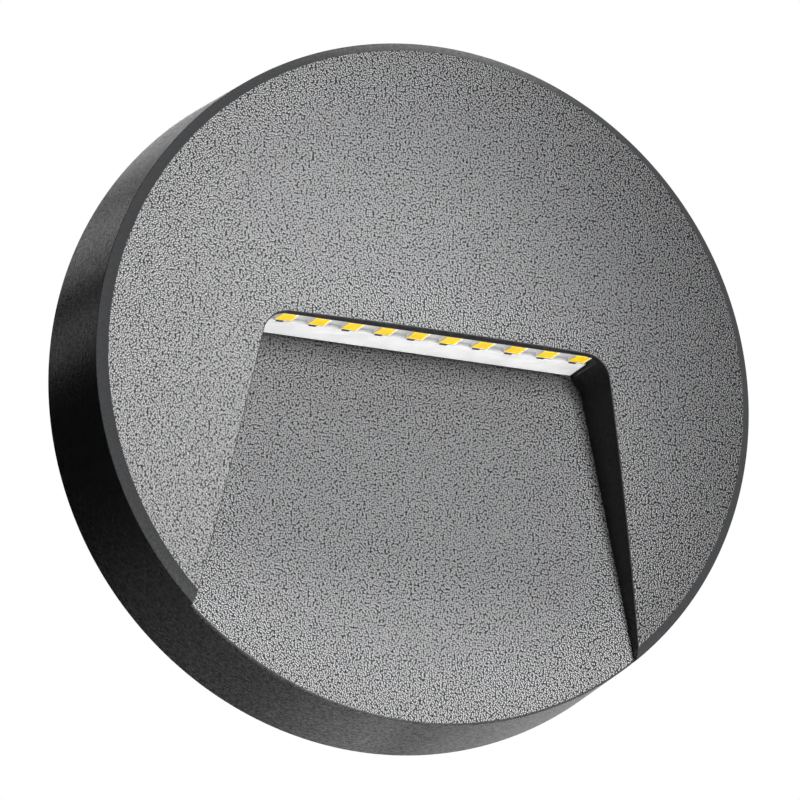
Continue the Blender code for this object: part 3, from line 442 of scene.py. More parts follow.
def mix_powder_coat():
    """Two masks from the face's direction choose between the coarse grain and the fine one; faces between
    them, such as the chamfer, get a lighter colour as painted light.
    """
    material, tree, shader, place = fresh_material("anthracite_paint")
    normal = wired(tree, "ShaderNodeNewGeometry", {}).outputs["Normal"]
    facing = wired(tree, "ShaderNodeSeparateXYZ", {"Vector": normal}).outputs["Y"]
    broad_face = spread(tree, facing, 0.0, 1.0, -0.90, -0.975, smooth=True)
    side_face = spread(tree, facing, 0.0, 1.0, -0.5, -0.2, smooth=True)

    along = wired(tree, "ShaderNodeSeparateXYZ", {"Vector": place}).outputs
    upright = wired(tree, "ShaderNodeCombineXYZ", {"X": along["X"], "Y": along["Z"], "Z": along["Y"]})
    coarse = placed(tree, wrinkle, upright.outputs["Vector"], Ridges=3000.0, Grit=5000.0)["Height"]
    fine = placed(tree, mottling, place, Patches=300.0, Speckle=1600.0)["Fine"]
    shallow = worked(tree, "MULTIPLY", fine, side_grain_depth / wrinkle_depth)
    height = worked(tree, "ADD", worked(tree, "MULTIPLY", coarse, broad_face),
                    worked(tree, "MULTIPLY", shallow, side_face))
    rough_normal = bumped(tree, height, wrinkle_depth)

    side_crests = coat_outside(tree, place, spread(tree, fine, 0.3, 1.0, 0.35, 0.65))
    crests = mixed(tree, broad_face, side_crests, spread(tree, coarse, 0.04, 1.0, 0.28, 0.72))
    grain = mixed(tree, broad_face, fine, coarse)
    # Painted light: where neither mask holds, on the chamfer and the rounded edges, the colour is the lighter
    # one.
    colour = mixed(tree, worked(tree, "ADD", broad_face, side_face), (*chamfer_painted_light, 1),
                   blend_colours(tree, grain, coat_dark, coat_light), "RGBA")
    broad = placed(tree, mottling, place, Patches=45.0, Speckle=1800.0)["Broad"]
    feed(tree, shader, {"Base Color": colour, "Roughness": spread(tree, broad, 0.28, 0.33),
                        "Specular IOR Level": 0.05, "Normal": rough_normal, "Coat Normal": rough_normal,
                        "Coat Weight": crests, "Coat Roughness": face_sheen})
    feed(tree, shader, {"Coat Roughness": mixed(tree, side_face, face_sheen, side_sheen)})
    return material


finishes["anthracite_paint"] = mix_powder_coat()
print("powder coat: grain", wrinkle_depth / mm, "mm deep on the front,", side_grain_depth / mm, "on the side")

# %% [markdown]
# ## Finishes of the light row
#
# Four finishes lie close together under the ceiling: white reflector metal brushed along its length,
# the pale grey board, the cream package of a chip and the yellow phosphor in it. The phosphor and the
# whites get a little painted glow of their own, though the row is unlit: it stands in for light, and
# is only enough to keep their colours clean in the shade of the recess. The small side faces of the
# chips and the strip get painted shade, and the right ends of the strip and the board fade into
# painted shade at the recess's corner.

# %% Mix the finishes of the light row
# Painted shade: the near-black that the row's right ends fade into.
recess_shade = (0.006, 0.006, 0.006, 1)


def shade_towards_end(tree, colour, start, end):
    """The colour, fading into painted shade towards the recess's right corner."""
    place = wired(tree, "ShaderNodeTexCoord", {}).outputs["Object"]
    across = wired(tree, "ShaderNodeSeparateXYZ", {"Vector": place}).outputs["X"]
    return mixed(tree, spread(tree, across, 0.0, 1.0, start, end, smooth=True), colour, recess_shade, "RGBA")


def shade_flanks(tree, colour, share):
    """Painted shade: the colour on faces that look down, and only a share of it on the small faces at their
    edges.
    """
    normal = wired(tree, "ShaderNodeNewGeometry", {}).outputs["Normal"]
    facing = wired(tree, "ShaderNodeSeparateXYZ", {"Vector": normal}).outputs["Z"]
    return mixed(tree, spread(tree, facing, 0.0, 1.0, -0.85, -0.75), colour, (share, share, share, 1),
                 "RGBA", blend_type="MULTIPLY")


def painted_glow_finish(name, colour, second, roughness, glow, lines=None, ends=None, flank_share=1.0):
    """A plain finish that also glows a little in its own colour: painted glow, as the row is unlit."""
    material = plain_finish(name, colour, second, roughness, patches=250.0, speckle=3000.0,
                            bump=0.004 * mm, lines=lines)
    tree = material.node_tree
    shader = tree.nodes["Principled BSDF"]
    paint = shader.inputs["Base Color"].links[0].from_socket
    # Painted shade where the row's right end meets the recess's corner.
    if ends:
        paint = shade_towards_end(tree, paint, *ends)
    # Painted shade on the small side faces.
    paint = shade_flanks(tree, paint, flank_share)
    # Painted glow: the emission lights the row in its own colour, though it is unlit.
    feed(tree, shader, {"Base Color": paint, "Emission Color": paint, "Emission Strength": glow})
    return material


# The fourth number is the painted glow; ends and flank_share set the painted shade.
painted_glow_looks = {
    "chip_phosphor": ((0.86, 0.55, 0.0), (0.98, 0.70, 0.03), (0.35, 0.5), 0.48, {"flank_share": 0.6}),
    "light_board_grey": ((0.56, 0.56, 0.58), (0.64, 0.64, 0.65), (0.45, 0.55), 0.32,
                         {"ends": (29.3 * mm, 31.0 * mm)}),
    "brushed_aluminium": ((0.72, 0.72, 0.72), (0.90, 0.90, 0.90), (0.4, 0.6), 0.42,
                          {"lines": (50.0, 5000.0, 5000.0), "ends": (28.9 * mm, 29.9 * mm),
                           "flank_share": 0.4}),
    "chip_package": ((0.86, 0.84, 0.74), (0.94, 0.92, 0.82), (0.4, 0.5), 0.45, {"flank_share": 0.6}),
}
for name, (colour, second, roughness, glow, more) in painted_glow_looks.items():
    finishes[name] = painted_glow_finish(name, colour, second, roughness, glow, **more)
print("light row finishes:", len(painted_glow_looks))

# %% [markdown]
# ## The cast housing
#
# The whole front is one aluminium casting: a gently domed disc with a chamfer, a slightly tapered side,
# and a recess whose ramp carries the light down the wall. It is turned first, as on a lathe, and the
# recess is cut from it afterwards, because that gives clean edges where the two shapes meet. The solid
# does the same with few faces. Here the dome and the corners get many more, and every outer edge gets
# the small rounding that a mould and a coat of powder leave on it, which is where edges catch light.

# %% Sizes of the casting
low, high = bench_box("housing")
wall_rim, front_depth = high.x, high.z
rim_radius, rim_depth = 60.0 * mm, 21.6 * mm
face_radius, face_depth = 58.3 * mm, 23.05 * mm
dome_rise = front_depth - face_depth
dome_sphere = (face_radius ** 2 + dome_rise ** 2) / (2 * dome_rise)
ceiling, recess_half, splay, corner = 7.3 * mm, 31.0 * mm, math.radians(10.3), 4.5 * mm
ceiling_draft = math.radians(2.1)
ramp_top, ramp_slope, straight_share = 12.7 * mm, math.radians(8.9), 0.585
turn_steps, dome_rings, ramp_steps, corner_steps = 256, 26, 28, 20
print("housing:", round(2000 * wall_rim, 2), "mm across,", round(1000 * front_depth, 2), "mm deep")


def dome_height(radius):
    return front_depth - dome_sphere + math.sqrt(dome_sphere ** 2 - radius ** 2)


def front_height(radius):
    """Height of the uncut front: dome, chamfer, then the side's slope carried on."""
    if radius < face_radius:
        return dome_height(radius)
    return face_depth - (radius - face_radius) * (face_depth - rim_depth) / (rim_radius - face_radius)


def ramp_height(y):
    """Height of the ramp: straight under the ceiling, then levelling out towards the rim."""
    fall, rise = ceiling + rim_radius, math.tan(ramp_slope)
    bend = fall * (1 - straight_share)
    past = bend - rim_radius - y
    if past <= 0:
        return ramp_top + rise * (ceiling - y)
    past = min(past, bend)
    return ramp_top + rise * (fall - bend + past) - rise * past ** 2 / (2 * bend)


def side_radius(height):
    """Radius of the tapered side at a height above the wall."""
    return wall_rim - (wall_rim - rim_radius) * height / rim_depth

# %% [markdown]
# Two helpers do most of the work. One turns a profile round the light's axis. The other pulls a plane
# outline straight up into a prism. Both close their meshes, because a Boolean cut needs closed solids.

# %% Turn and pull
def turned(profile, steps):
    """A closed solid of revolution; the profile runs from the axis to the axis."""
    shape = bmesh.new()
    rings = []
    for radius, height in profile:
        if radius < 1e-9:
            rings.append([shape.verts.new((0, 0, height))])
        else:
            rings.append([shape.verts.new((radius * math.cos(math.tau * i / steps),
                                           radius * math.sin(math.tau * i / steps), height))
                          for i in range(steps)])
    for inner, outer in zip(rings, rings[1:]):
        for i in range(steps):
            j = (i + 1) % steps
            corners = [ring[k % len(ring)] for ring, k in ((inner, i), (outer, i), (outer, j), (inner, j))]
            shape.faces.new(list(dict.fromkeys(corners)))
    bmesh.ops.recalc_face_normals(shape, faces=shape.faces)
    return shape


def close_between(shape, one, two):
    """The faces between two rings of equally many points."""
    count = len(one)
    for i in range(count):
        j = (i + 1) % count
        shape.faces.new((one[i], one[j], two[j], two[i]))


def pulled(outline, low, high, axes="xyz"):
    """A prism over a plane outline; axes names the outline's two directions and the pull."""
    shape = bmesh.new()
    order = ["xyz".index(letter) for letter in axes]
    ends = []
    for level in (low, high):
        ring = []
        for first, second in outline:
            place = [0, 0, 0]
            place[order[0]], place[order[1]], place[order[2]] = first, second, level
            ring.append(shape.verts.new(place))
        ends.append(ring)
    shape.faces.new(ends[0])
    shape.faces.new(ends[1])
    close_between(shape, *ends)
    bmesh.ops.recalc_face_normals(shape, faces=shape.faces)
    return shape


def block(low, high):
    outline = [(low[0], low[1]), (high[0], low[1]), (high[0], high[1]), (low[0], high[1])]
    return pulled(outline, low[2], high[2])


def cut(mesh, tools, operation="DIFFERENCE"):
    """The mesh less, or with, each of the tools in turn."""
    piece = loose_object("blank", mesh)
    helpers = []
    for number, shape in enumerate(tools):
        helper = loose_object(f"tool_{number}", as_mesh("tool", shape))
        helpers.append(helper)
        step = piece.modifiers.new("cut", "BOOLEAN")
        step.operation, step.solver, step.object = operation, "EXACT", helper
    return baked(piece, *helpers)


def rounding(before, corner, after, radius, steps=4):
    """Points that round a profile's corner with a small arc."""
    into = (Vector(before) - Vector(corner)).normalized()
    out = (Vector(after) - Vector(corner)).normalized()
    half = into.angle(out) / 2
    reach = radius / math.tan(half)
    centre = Vector(corner) + (into + out).normalized() * radius / math.sin(half)
    arms = [Vector(corner) + way * reach - centre for way in (into, out)]
    first, last = [math.atan2(arm.y, arm.x) for arm in arms]
    turn = math.remainder(last - first, math.tau)
    return [(centre.x + radius * math.cos(first + turn * i / steps),
             centre.y + radius * math.sin(first + turn * i / steps)) for i in range(steps + 1)]


print("bench tools: turned, pulled, block, cut, rounding")

# %% [markdown]
# ## The recess
#
# Seen from the front the recess is a trapezoid with rounded upper corners. Seen from the side its floor
# is the ramp. A prism of each is made and only what they share is kept, which gives the exact block of
# air that the casting lacks. The same block, grown by a wall's thickness, is what the hollow inside must
# leave standing.

# %% Shape the recess's block of air
past_top, past_foot, past_sides = 60.0 * mm, -90.0 * mm, 120.0 * mm
behind_wall, before_front, low_foot = -1.0 * mm, 50.0 * mm, -64.0 * mm


def bow(centre, radius, start, end, steps):
    return [(centre[0] + radius * math.cos(start + (end - start) * i / steps),
             centre[1] + radius * math.sin(start + (end - start) * i / steps)) for i in range(steps + 1)]


def recess_edge(grow=0.0, foot=low_foot):
    """Front view of the recess, from its right foot over the ceiling to its left foot."""
    top, radius = ceiling + grow, corner + grow
    sharp_x = recess_half + grow / math.cos(splay) - grow * math.tan(splay)
    centre = (sharp_x + radius * math.tan(splay) - radius / math.cos(splay), top - radius)
    foot_x = sharp_x + (top - foot) * math.tan(splay)
    right = bow(centre, radius, splay, math.pi / 2, corner_steps)
    return [(foot_x, foot)] + right + [(-x, y) for x, y in reversed(right)] + [(-foot_x, foot)]


def ramp_side(grow=0.0):
    """Side view of the air above the ramp, lowered by the growth."""
    points = [(past_top, ramp_height(past_top) - grow / math.cos(ramp_slope))]
    bend = (ceiling + rim_radius) * (1 - straight_share)
    for i in range(ramp_steps + 1):
        y = bend - rim_radius - bend * i / ramp_steps
        slope = math.atan(math.tan(ramp_slope) * (1 - i / ramp_steps))
        points.append((y - grow * math.sin(slope), ramp_height(y) - grow * math.cos(slope)))
    return points + [(past_foot, points[-1][1]), (past_foot, past_top), (past_top, past_top)]


def ceiling_drop(height):
    """How far the ceiling has sunk at a height above the wall; a mould needs that lean to let go."""
    return (dome_height(ceiling) - height) * math.tan(ceiling_draft)


def recess_air(grow=0.0):
    """The block of air that the casting lacks, or one grown by a wall's thickness."""
    prism = as_mesh("recess", pulled(recess_edge(grow), behind_wall, before_front))
    for vertex in prism.vertices:
        vertex.co.y -= ceiling_drop(vertex.co.z)
    above = pulled(ramp_side(grow), -past_sides, past_sides, "yzx")
    shape = bmesh.new()
    shape.from_mesh(cut(prism, [above], "INTERSECT"))
    return shape


print("recess:", round(2 * recess_half / mm, 1), "mm wide at its ceiling, ramp",
      round(ramp_height(-rim_radius) / mm, 2), "mm above the wall at the rim")

# %% [markdown]
# ## Rounded edges
#
# A bevel on the finished cut would have to find its way past hundreds of small faces. A safer way is to
# sweep a thin cutter along each edge, whose section is a square with a quarter circle taken out of it.
# What it leaves behind is the rounding. One runs round the recess on the front, and a wider one along
# the ramp's lower rim.

# %% Sweep the rounding cutters
edge_foot, edge_step, edge_overrun = -50.0 * mm, 1.5 * mm, 0.6 * mm
rim_nick, rim_steps, search_steps = 0.03 * mm, 96, 2000


def rounding_cutter(path, inwards, radius, steps=5):
    """A cutter along a path that rounds the edge there; inwards points away from the metal beside it."""
    shape = bmesh.new()
    spare, past = 2.2 * radius, 0.012 * radius
    section = bow((past - radius, past - radius), radius, 0, math.pi / 2, steps)
    section += [(past - radius, spare), (spare, spare), (spare, past - radius)]
    rings = []
    for i, place in enumerate(path):
        along = (path[min(i + 1, len(path) - 1)] - path[max(i - 1, 0)]).normalized()
        side = (inwards[i] - along * inwards[i].dot(along)).normalized()
        up = side.cross(along)
        if up.z < 0:
            up = -up
        rings.append([shape.verts.new(place + side * a + up * b) for a, b in section])
    for one, two in zip(rings, rings[1:]):
        close_between(shape, one, two)
    shape.faces.new(rings[0])
    shape.faces.new(rings[-1])
    bmesh.ops.triangulate(shape, faces=shape.faces)
    bmesh.ops.recalc_face_normals(shape, faces=shape.faces)
    return shape


def front_rim_cutter(radius):
    """Along the recess's edge on the dome and down over the chamfer, as far as the side."""
    outline = recess_edge(foot=edge_foot)
    points = []
    for (x0, y0), (x1, y1) in zip(outline, outline[1:]):
        pieces = max(1, round(math.hypot(x1 - x0, y1 - y0) / edge_step))
        points += [(x0 + (x1 - x0) * i / pieces, y0 + (y1 - y0) * i / pieces) for i in range(pieces)]
    points.append(outline[-1])
    path, inwards = [], []
    for i, (x, y) in enumerate(points):
        if math.hypot(x, y) > rim_radius + edge_overrun:
            continue
        before, after = points[max(i - 1, 0)], points[min(i + 1, len(points) - 1)]
        along = Vector((after[0] - before[0], after[1] - before[1], 0))
        height = front_height(math.hypot(x, y))
        path.append(Vector((x, y - ceiling_drop(height), height)))
        inwards.append(Vector((-along.y, along.x, 0)).normalized())
    return rounding_cutter(path, inwards, radius)


def ramp_rim_cutter(radius):
    """Along the edge between the ramp and the side, from one wall of the recess to the other."""
    def outside(angle):
        height = ramp_height(rim_radius * math.sin(angle))
        x, y = side_radius(height) * math.cos(angle), side_radius(height) * math.sin(angle)
        return abs(x) > recess_half + (ceiling - ceiling_drop(height) - y) * math.tan(splay) + rim_nick
    angles = (step / search_steps for step in range(2 * search_steps))
    start = next(angle for angle in angles if not outside(-angle))
    path, inwards = [], []
    for i in range(rim_steps + 1):
        angle = -start - (math.pi - 2 * start) * i / rim_steps
        y = rim_radius * math.sin(angle)
        height = ramp_height(y)
        reach = side_radius(height)
        path.append(Vector((reach * math.cos(angle), reach * math.sin(angle), height)))
        inwards.append(Vector((math.cos(angle), math.sin(angle), 0)))
    return rounding_cutter(path, inwards, radius)


print("rounding cutters: a point every", round(edge_step / mm, 1), "mm round the recess and", rim_steps,
      "steps along the ramp's rim")

# %% [markdown]
# ## What is cast inside
#
# Behind the front the casting is hollow. Walls follow the recess, four bosses take the cover's screws,
# two posts carry the heat bar, and smaller bosses take the tray and the earth screw. Only the back view
# of an open light shows them, so they keep the solid's own sizes, read from the pieces they hold.

# %% Hollow the casting
fit_gap = 0.3 * mm
foam_wall, cover_wall, hollow_wall = 1.6 * mm, 3.4 * mm, 5.4 * mm
skin, skin_corner, recess_wall = 2.2 * mm, 1.7 * mm, 1.5 * mm
boss_radius, earth_seat = 3.5 * mm, 1.3 * mm
tray_ear_rise, tray_ear = 0.2 * mm, 1.0 * mm
post_half, post_height, post_foot = 3.0 * mm, 9.0 * mm, 13.5 * mm
dome_points, hollow_steps = 12, 128


def screw_axis(node):
    """Middle of a screw, seen along the light's axis."""
    low, high = bench_box(node)
    return (low.x + high.x) / 2, (low.y + high.y) / 2


def boss_places():
    """Where each screw boss stands, and how high above the wall it begins."""
    tray_back = bench_box("driver_tray")[0].z
    feet = {f"cover_screw_{i}": bench_box("rear_cover")[1].z + fit_gap for i in (1, 2, 3, 4)}
    for side in ("left", "right"):
        feet[f"tray_screw_{side}"] = tray_back + tray_ear_rise + tray_ear + fit_gap
    feet["earth_screw"] = tray_back + earth_seat
    return [(*screw_axis(node), foot) for node, foot in feet.items()]


def hollow(standing):
    """The hollow behind the front, less everything that stands in it."""
    step, groove, cavity = wall_rim - cover_wall, wall_rim - foam_wall, wall_rim - hollow_wall
    seat = bench_box("cover_gasket")[1].z + fit_gap
    foam = bench_box("wall_gasket")[1].z + fit_gap
    edge = cavity - skin_corner
    radii = [edge * i / dome_points for i in range(dome_points + 1)]
    profile = [(radius, dome_height(radius) - skin) for radius in radii]
    profile += [(cavity, dome_height(edge) - skin - skin_corner), (cavity, seat), (step, seat),
                (step, foam), (groove, foam), (groove, -mm), (0, -mm)]
    bosses = bmesh.new()
    for x, y, foot in standing:
        place = Matrix.Translation((x, y, foot + front_depth / 2))
        bmesh.ops.create_cone(bosses, cap_ends=True, segments=32, radius1=boss_radius, radius2=boss_radius,
                              depth=front_depth, matrix=place)
    tools = [recess_air(recess_wall), bosses]
    board_high, bar_high = bench_box("led_board")[1], bench_box("heat_bar")[1]
    for side in (-1, 1):
        middle = side * ((board_high.x + bar_high.x) / 2 + fit_gap)
        tools.append(block((middle - post_half, board_high.y - post_height, post_foot),
                           (middle + post_half, board_high.y, front_depth)))
    shape = bmesh.new()
    shape.from_mesh(cut(as_mesh("hollow", turned(profile, hollow_steps)), tools))
    return shape


standing = boss_places()
print("bosses:", [(round(x / mm, 1), round(y / mm, 1)) for x, y, foot in standing])

# %% [markdown]
# Every boss and post is drilled for its screw, and two holes go through the side wall for the set
# screws. A set screw lies square to the wall's circle, so its middle, seen from the axis, also gives
# the direction of its hole.

# %% Drill the screw holes
bore_radius, boss_bore, post_bore = 1.7 * mm, 9.0 * mm, 8.5 * mm
set_screw_half, set_screw_bore = 3.0 * mm, 9.0 * mm


def set_screw_line(side):
    """The inner end of a set screw and the direction in which it backs out."""
    low, high = bench_box(f"set_screw_{side}")
    centre = (low + high) / 2
    outwards = Vector((centre.x, centre.y, 0)).normalized()
    return centre - outwards * set_screw_half, outwards


def turned_to(place, direction):
    """The matrix that lays an upright piece along a direction."""
    return Matrix.Translation(place) @ Vector(direction).to_track_quat("Z", "Y").to_matrix().to_4x4()


def screw_bores(standing):
    """Holes of the bosses and posts, and the two open ones for the set screws."""
    lines = [((x, y, foot - mm), (0, 0, 1), boss_bore) for x, y, foot in standing]
    for side in ("left", "right"):
        low, high = bench_box(f"bar_screw_{side}")
        top = bench_box("heat_bar")[1].y
        lines.append((((low.x + high.x) / 2, top, (low.z + high.z) / 2), (0, -1, 0), post_bore))
        lines.append((*set_screw_line(side), set_screw_bore))
    bores = bmesh.new()
    for foot, direction, length in lines:
        bmesh.ops.create_cone(bores, cap_ends=True, segments=24, radius1=bore_radius, radius2=bore_radius,
                              depth=length, matrix=turned_to(foot, direction)
                              @ Matrix.Translation((0, 0, length / 2)))
    return bores


print("the right set screw backs out along", [round(x, 3) for x in set_screw_line("right")[1]])

# %% [markdown]
# Now the casting is put together: turn the blank, take out the recess and its rounded rims, open the
# slot for the light row, take out the hollow and drill the holes. The smooth shading is weighted by
# the size of the faces, so that the large ones keep their flatness next to a rounded edge.

# %% Cut the casting
face_rounding, side_rounding, recess_rounding, ramp_rounding = 0.25 * mm, 0.35 * mm, 0.3 * mm, 0.45 * mm
slot_clearance, slot_behind, slot_below, seat_side = 0.2 * mm, 0.7 * mm, 2.0 * mm, 0.5 * mm


def cast_housing():
    """The finished casting in bench directions."""
    before = 57.0 * mm
    face_edge = rounding((before, dome_height(before)), (face_radius, face_depth), (rim_radius, rim_depth),
                         face_rounding)
    rim_edge = rounding((face_radius, face_depth), (rim_radius, rim_depth), (wall_rim, 0), side_rounding)
    reach = face_edge[0][0]
    profile = [(reach * i / dome_rings, dome_height(reach * i / dome_rings)) for i in range(dome_rings)]
    profile += face_edge + rim_edge + [(wall_rim, 0), (0, 0)]
    strip_low, strip_high = bench_box("reflector_strip")
    board_low, board_high = bench_box("led_board")
    front = board_high.z + slot_clearance
    slot = block((strip_low.x - fit_gap, ceiling - slot_below, strip_low.z - fit_gap),
                 (strip_high.x + fit_gap, board_low.y + slot_behind, front))
    seat = block((board_low.x - seat_side, board_low.y - fit_gap, board_low.z - fit_gap),
                 (board_high.x + seat_side, bench_box("heat_bar")[1].y, front))
    blank = as_mesh("housing", turned(profile, turn_steps))
    inside = hollow(standing)
    rims = [front_rim_cutter(recess_rounding), ramp_rim_cutter(ramp_rounding)]
    for tools in ([recess_air()] + rims + [slot, seat], [inside], [screw_bores(standing)]):
        blank = cut(blank, tools)
    return blank


def smoothed(mesh, angle=30.0):
    """Smooth shading with crisp edges, weighted so that large faces keep their flatness."""
    mesh.shade_smooth()
    mesh.set_sharp_from_angle(angle=math.radians(angle))
    piece = loose_object("shading", mesh)
    weigh = piece.modifiers.new("weigh", "WEIGHTED_NORMAL")
    weigh.keep_sharp = True
    return baked(piece)


hand_over("cast_housing", smoothed(cast_housing()), "head", "anthracite_paint", ["housing"])

# %% [markdown]
# ## The light row
#
# Ten chips sit side by side on the board. Each is a cream package with a pad of yellow phosphor that
# lies off its middle, so the package shows as a pale border along two sides. Just behind each chip's
# deep edge lies a small dark mark. One chip is drawn from the first solid's own box, and a row of
# copies at the pitch of the solids makes the other nine. That is what Geometry Nodes are good at.

# %% Build the row maker
def new_maker(name, inputs, output):
    """An empty Geometry Nodes tree with named inputs, their identifiers and their outputs inside."""
    tree = bpy.data.node_groups.new(name, "GeometryNodeTree")
    sockets = {label: tree.interface.new_socket(name=label, in_out="INPUT",
                                                socket_type=f"NodeSocket{kind}").identifier
               for label, kind in inputs.items()}
    tree.interface.new_socket(name=output, in_out="OUTPUT", socket_type="NodeSocketGeometry")
    return tree, sockets, tree.nodes.new("NodeGroupInput").outputs


def end_maker(tree, copies, finish, output):
    """The end of every tree: its copies are made real and painted."""
    whole = wired(tree, "GeometryNodeRealizeInstances", {"Geometry": copies})
    paint = wired(tree, "GeometryNodeSetMaterial", {"Geometry": whole.outputs["Geometry"],
                                                    "Material": finish})
    wired(tree, "NodeGroupOutput", {output: paint.outputs["Geometry"]})


def made_by(maker, piece, *helpers, **values):
    """What a tree makes of a loose piece, as a plain mesh; inputs are set by their identifiers."""
    tree, sockets = maker
    step = piece.modifiers.new(tree.name, "NODES")
    step.node_group = tree
    for label, value in values.items():
        step[sockets[label]] = value
    return baked(piece, *helpers)


def build_row_maker():
    """A node tree that repeats the given mesh along a line and paints it."""
    tree, sockets, given = new_maker("row_maker", {"Piece": "Geometry", "Count": "Int", "Step": "Vector",
                                                   "Finish": "Material"}, "Row")
    line = wired(tree, "GeometryNodeMeshLine", {"Count": given["Count"], "Offset": given["Step"]})
    copies = wired(tree, "GeometryNodeInstanceOnPoints", {"Points": line.outputs["Mesh"],
                                                          "Instance": given["Piece"]})
    end_maker(tree, copies.outputs["Instances"], given["Finish"], "Row")
    return tree, sockets


row_maker = build_row_maker()
print("row maker takes", list(row_maker[1]))

# %% [markdown]
# The parts of a chip are small boxes with softened edges. A moulded package has no sharp edge anywhere,
# and the softened edge is what catches a thin line of light between a chip and the board.

# %% Lay the row of chips
chips = sorted(name for name in frame["nodes"] if name.startswith("led_") and name[4:].isdigit())
first_low, first_high = bench_box(chips[0])
chip_pitch = bench_box(chips[1])[0].x - first_low.x
package_edge, pad_edge, notch_edge = 0.04 * mm, 0.01 * mm, 0.02 * mm
pad_side, pad_back, pad_deep, pad_proud = 0.40 * mm, 0.40 * mm, 0.2 * mm, 0.03 * mm
notch_x, notch_y, notch_z = (0.35 * mm, 1.7 * mm), (-0.09 * mm, 0.1 * mm), (-0.75 * mm, 0.05 * mm)


def soft_block(low, high, radius, segments=2):
    """A box with all its edges rounded."""
    shape = block(low, high)
    bmesh.ops.bevel(shape, geom=list(shape.edges), offset=radius, segments=segments, profile=0.5,
                    affect="EDGES", clamp_overlap=True)
    return as_mesh("soft_block", shape)


package = soft_block((first_low.x, first_low.y + pad_proud, first_low.z), first_high, package_edge)
pad = soft_block((first_low.x, first_low.y, first_low.z + pad_back),
                 (first_high.x - pad_side, first_low.y + pad_deep, first_high.z), pad_edge, 1)
# A small dark block just behind each chip's deep edge.
notch = soft_block(*((first_low.x + notch_x[end], first_low.y + notch_y[end], first_low.z + notch_z[end])
                     for end in (0, 1)), notch_edge)
for name, mesh, finish, slot, replaced in (
        ("chip_packages", package, "chip_package", "chip_phosphor", chips),
        ("phosphor_pads", pad, "chip_phosphor", "chip_phosphor", ()),
        ("dark_notches", notch, "black_resin", "black_resin", ())):
    row = made_by(row_maker, loose_object("first", mesh), Count=len(chips), Step=(chip_pitch, 0, 0),
                  Finish=finishes[finish])
    hand_over(name, row, "head", slot, replaced, finish)

# %% [markdown]
# ## Screws
#
# Nine pan-head screws hold the cover, the heat bar, the driver's tray and the earth wire. They differ
# only in length, so one is turned from a profile whose shank is a row of thread crests, and a cross is
# sunk into its head. Copies then go where the solids' screws are. A seeded turn leaves each cross at
# an angle of its own, as a hand with a driver would.

# %% Turn a screw
shank_radius, head_radius, head_height = 1.5 * mm, 2.75 * mm, 1.8 * mm
thread_pitch, thread_depth = 0.5 * mm, 0.22 * mm
cross_half, cross_reach, cross_depth = 0.3 * mm, 1.2 * mm, 1.0 * mm
set_screw_chamfer, cup_radius, cup_depth = 0.4 * mm, 0.4 * mm, 0.25 * mm
key_radius, key_depth = 0.87 * mm, 2.2 * mm
screw_steps = 40


def threaded(top, tip):
    """Profile points of thread crests from the top of a shank down to its tip."""
    root_radius = shank_radius - thread_depth
    points, level = [], top
    while level - thread_pitch > tip + shank_radius / 2:
        points += [(radius, level - thread_pitch * share) for radius, share in
                   ((shank_radius, 0.15), (shank_radius, 0.3), (root_radius, 0.65), (root_radius, 0.8))]
        level -= thread_pitch
    return points


def pan_head_screw(length):
    """Head up, shank down from the origin, cross recess in the head."""
    profile = [(0, head_height)]
    for angle in (a * math.pi / 16 for a in range(2, 9)):
        profile.append((head_radius * math.sin(angle), head_height * (0.45 + 0.55 * math.cos(angle))))
    profile += [(head_radius, 0), (shank_radius, 0)] + threaded(0, -length)
    profile += [(shank_radius, shank_radius / 2 - length), (shank_radius / 2, -length), (0, -length)]
    bars = [block((-across, -along, head_height - cross_depth), (across, along, head_height + mm))
            for across, along in ((cross_half, cross_reach), (cross_reach, cross_half))]
    return cut(as_mesh("screw", turned(profile, screw_steps)), bars)


def socket_set_screw(length):
    """Threaded over its whole length, a cup point below and a hexagon socket above."""
    full = length - set_screw_chamfer
    profile = [(0, length), (shank_radius - set_screw_chamfer, length), (shank_radius, full)]
    profile += threaded(full, 0) + [(shank_radius / 2, 0), (cup_radius, cup_depth), (0, cup_depth)]
    key = bow((0, 0), key_radius, 0, math.tau, 6)[:-1]
    socket = pulled(key, length - key_depth, length + mm)
    return cut(as_mesh("set_screw", turned(profile, screw_steps)), [socket])


print("cover screw:", len(pan_head_screw(8.0 * mm).polygons), "faces")

# %% [markdown]
# The tree that sets the screws takes loose points. Each point says which way its screw lies in an
# attribute, so the same tree serves screws that go in from the back and screws that go in from above.

# %% Build the screw setter
def build_screw_setter():
    """A node tree that puts one screw on each point and gives it a seeded turn about its own axis."""
    tree, sockets, given = new_maker("screw_setter", {"Points": "Geometry", "Screw": "Object", "Seed": "Int",
                                                      "Finish": "Material"}, "Screws")
    screw = wired(tree, "GeometryNodeObjectInfo", {"Object": given["Screw"]})
    lie = wired(tree, "GeometryNodeInputNamedAttribute", {"Name": "lie"}, data_type="FLOAT_VECTOR")
    turn = wired(tree, "FunctionNodeRandomValue", {"Max": math.pi, "Seed": given["Seed"]}, data_type="FLOAT")
    spin = wired(tree, "ShaderNodeCombineXYZ", {"Z": turn.outputs["Value"]})
    copies = wired(tree, "GeometryNodeInstanceOnPoints", {"Points": given["Points"],
                                                          "Instance": screw.outputs["Geometry"],
                                                          "Rotation": lie.outputs["Attribute"]})
    spun = wired(tree, "GeometryNodeRotateInstances", {"Instances": copies.outputs["Instances"],
                                                       "Rotation": spin.outputs["Vector"]})
    end_maker(tree, spun.outputs["Instances"], given["Finish"], "Screws")
    return tree, sockets


screw_setter = build_screw_setter()


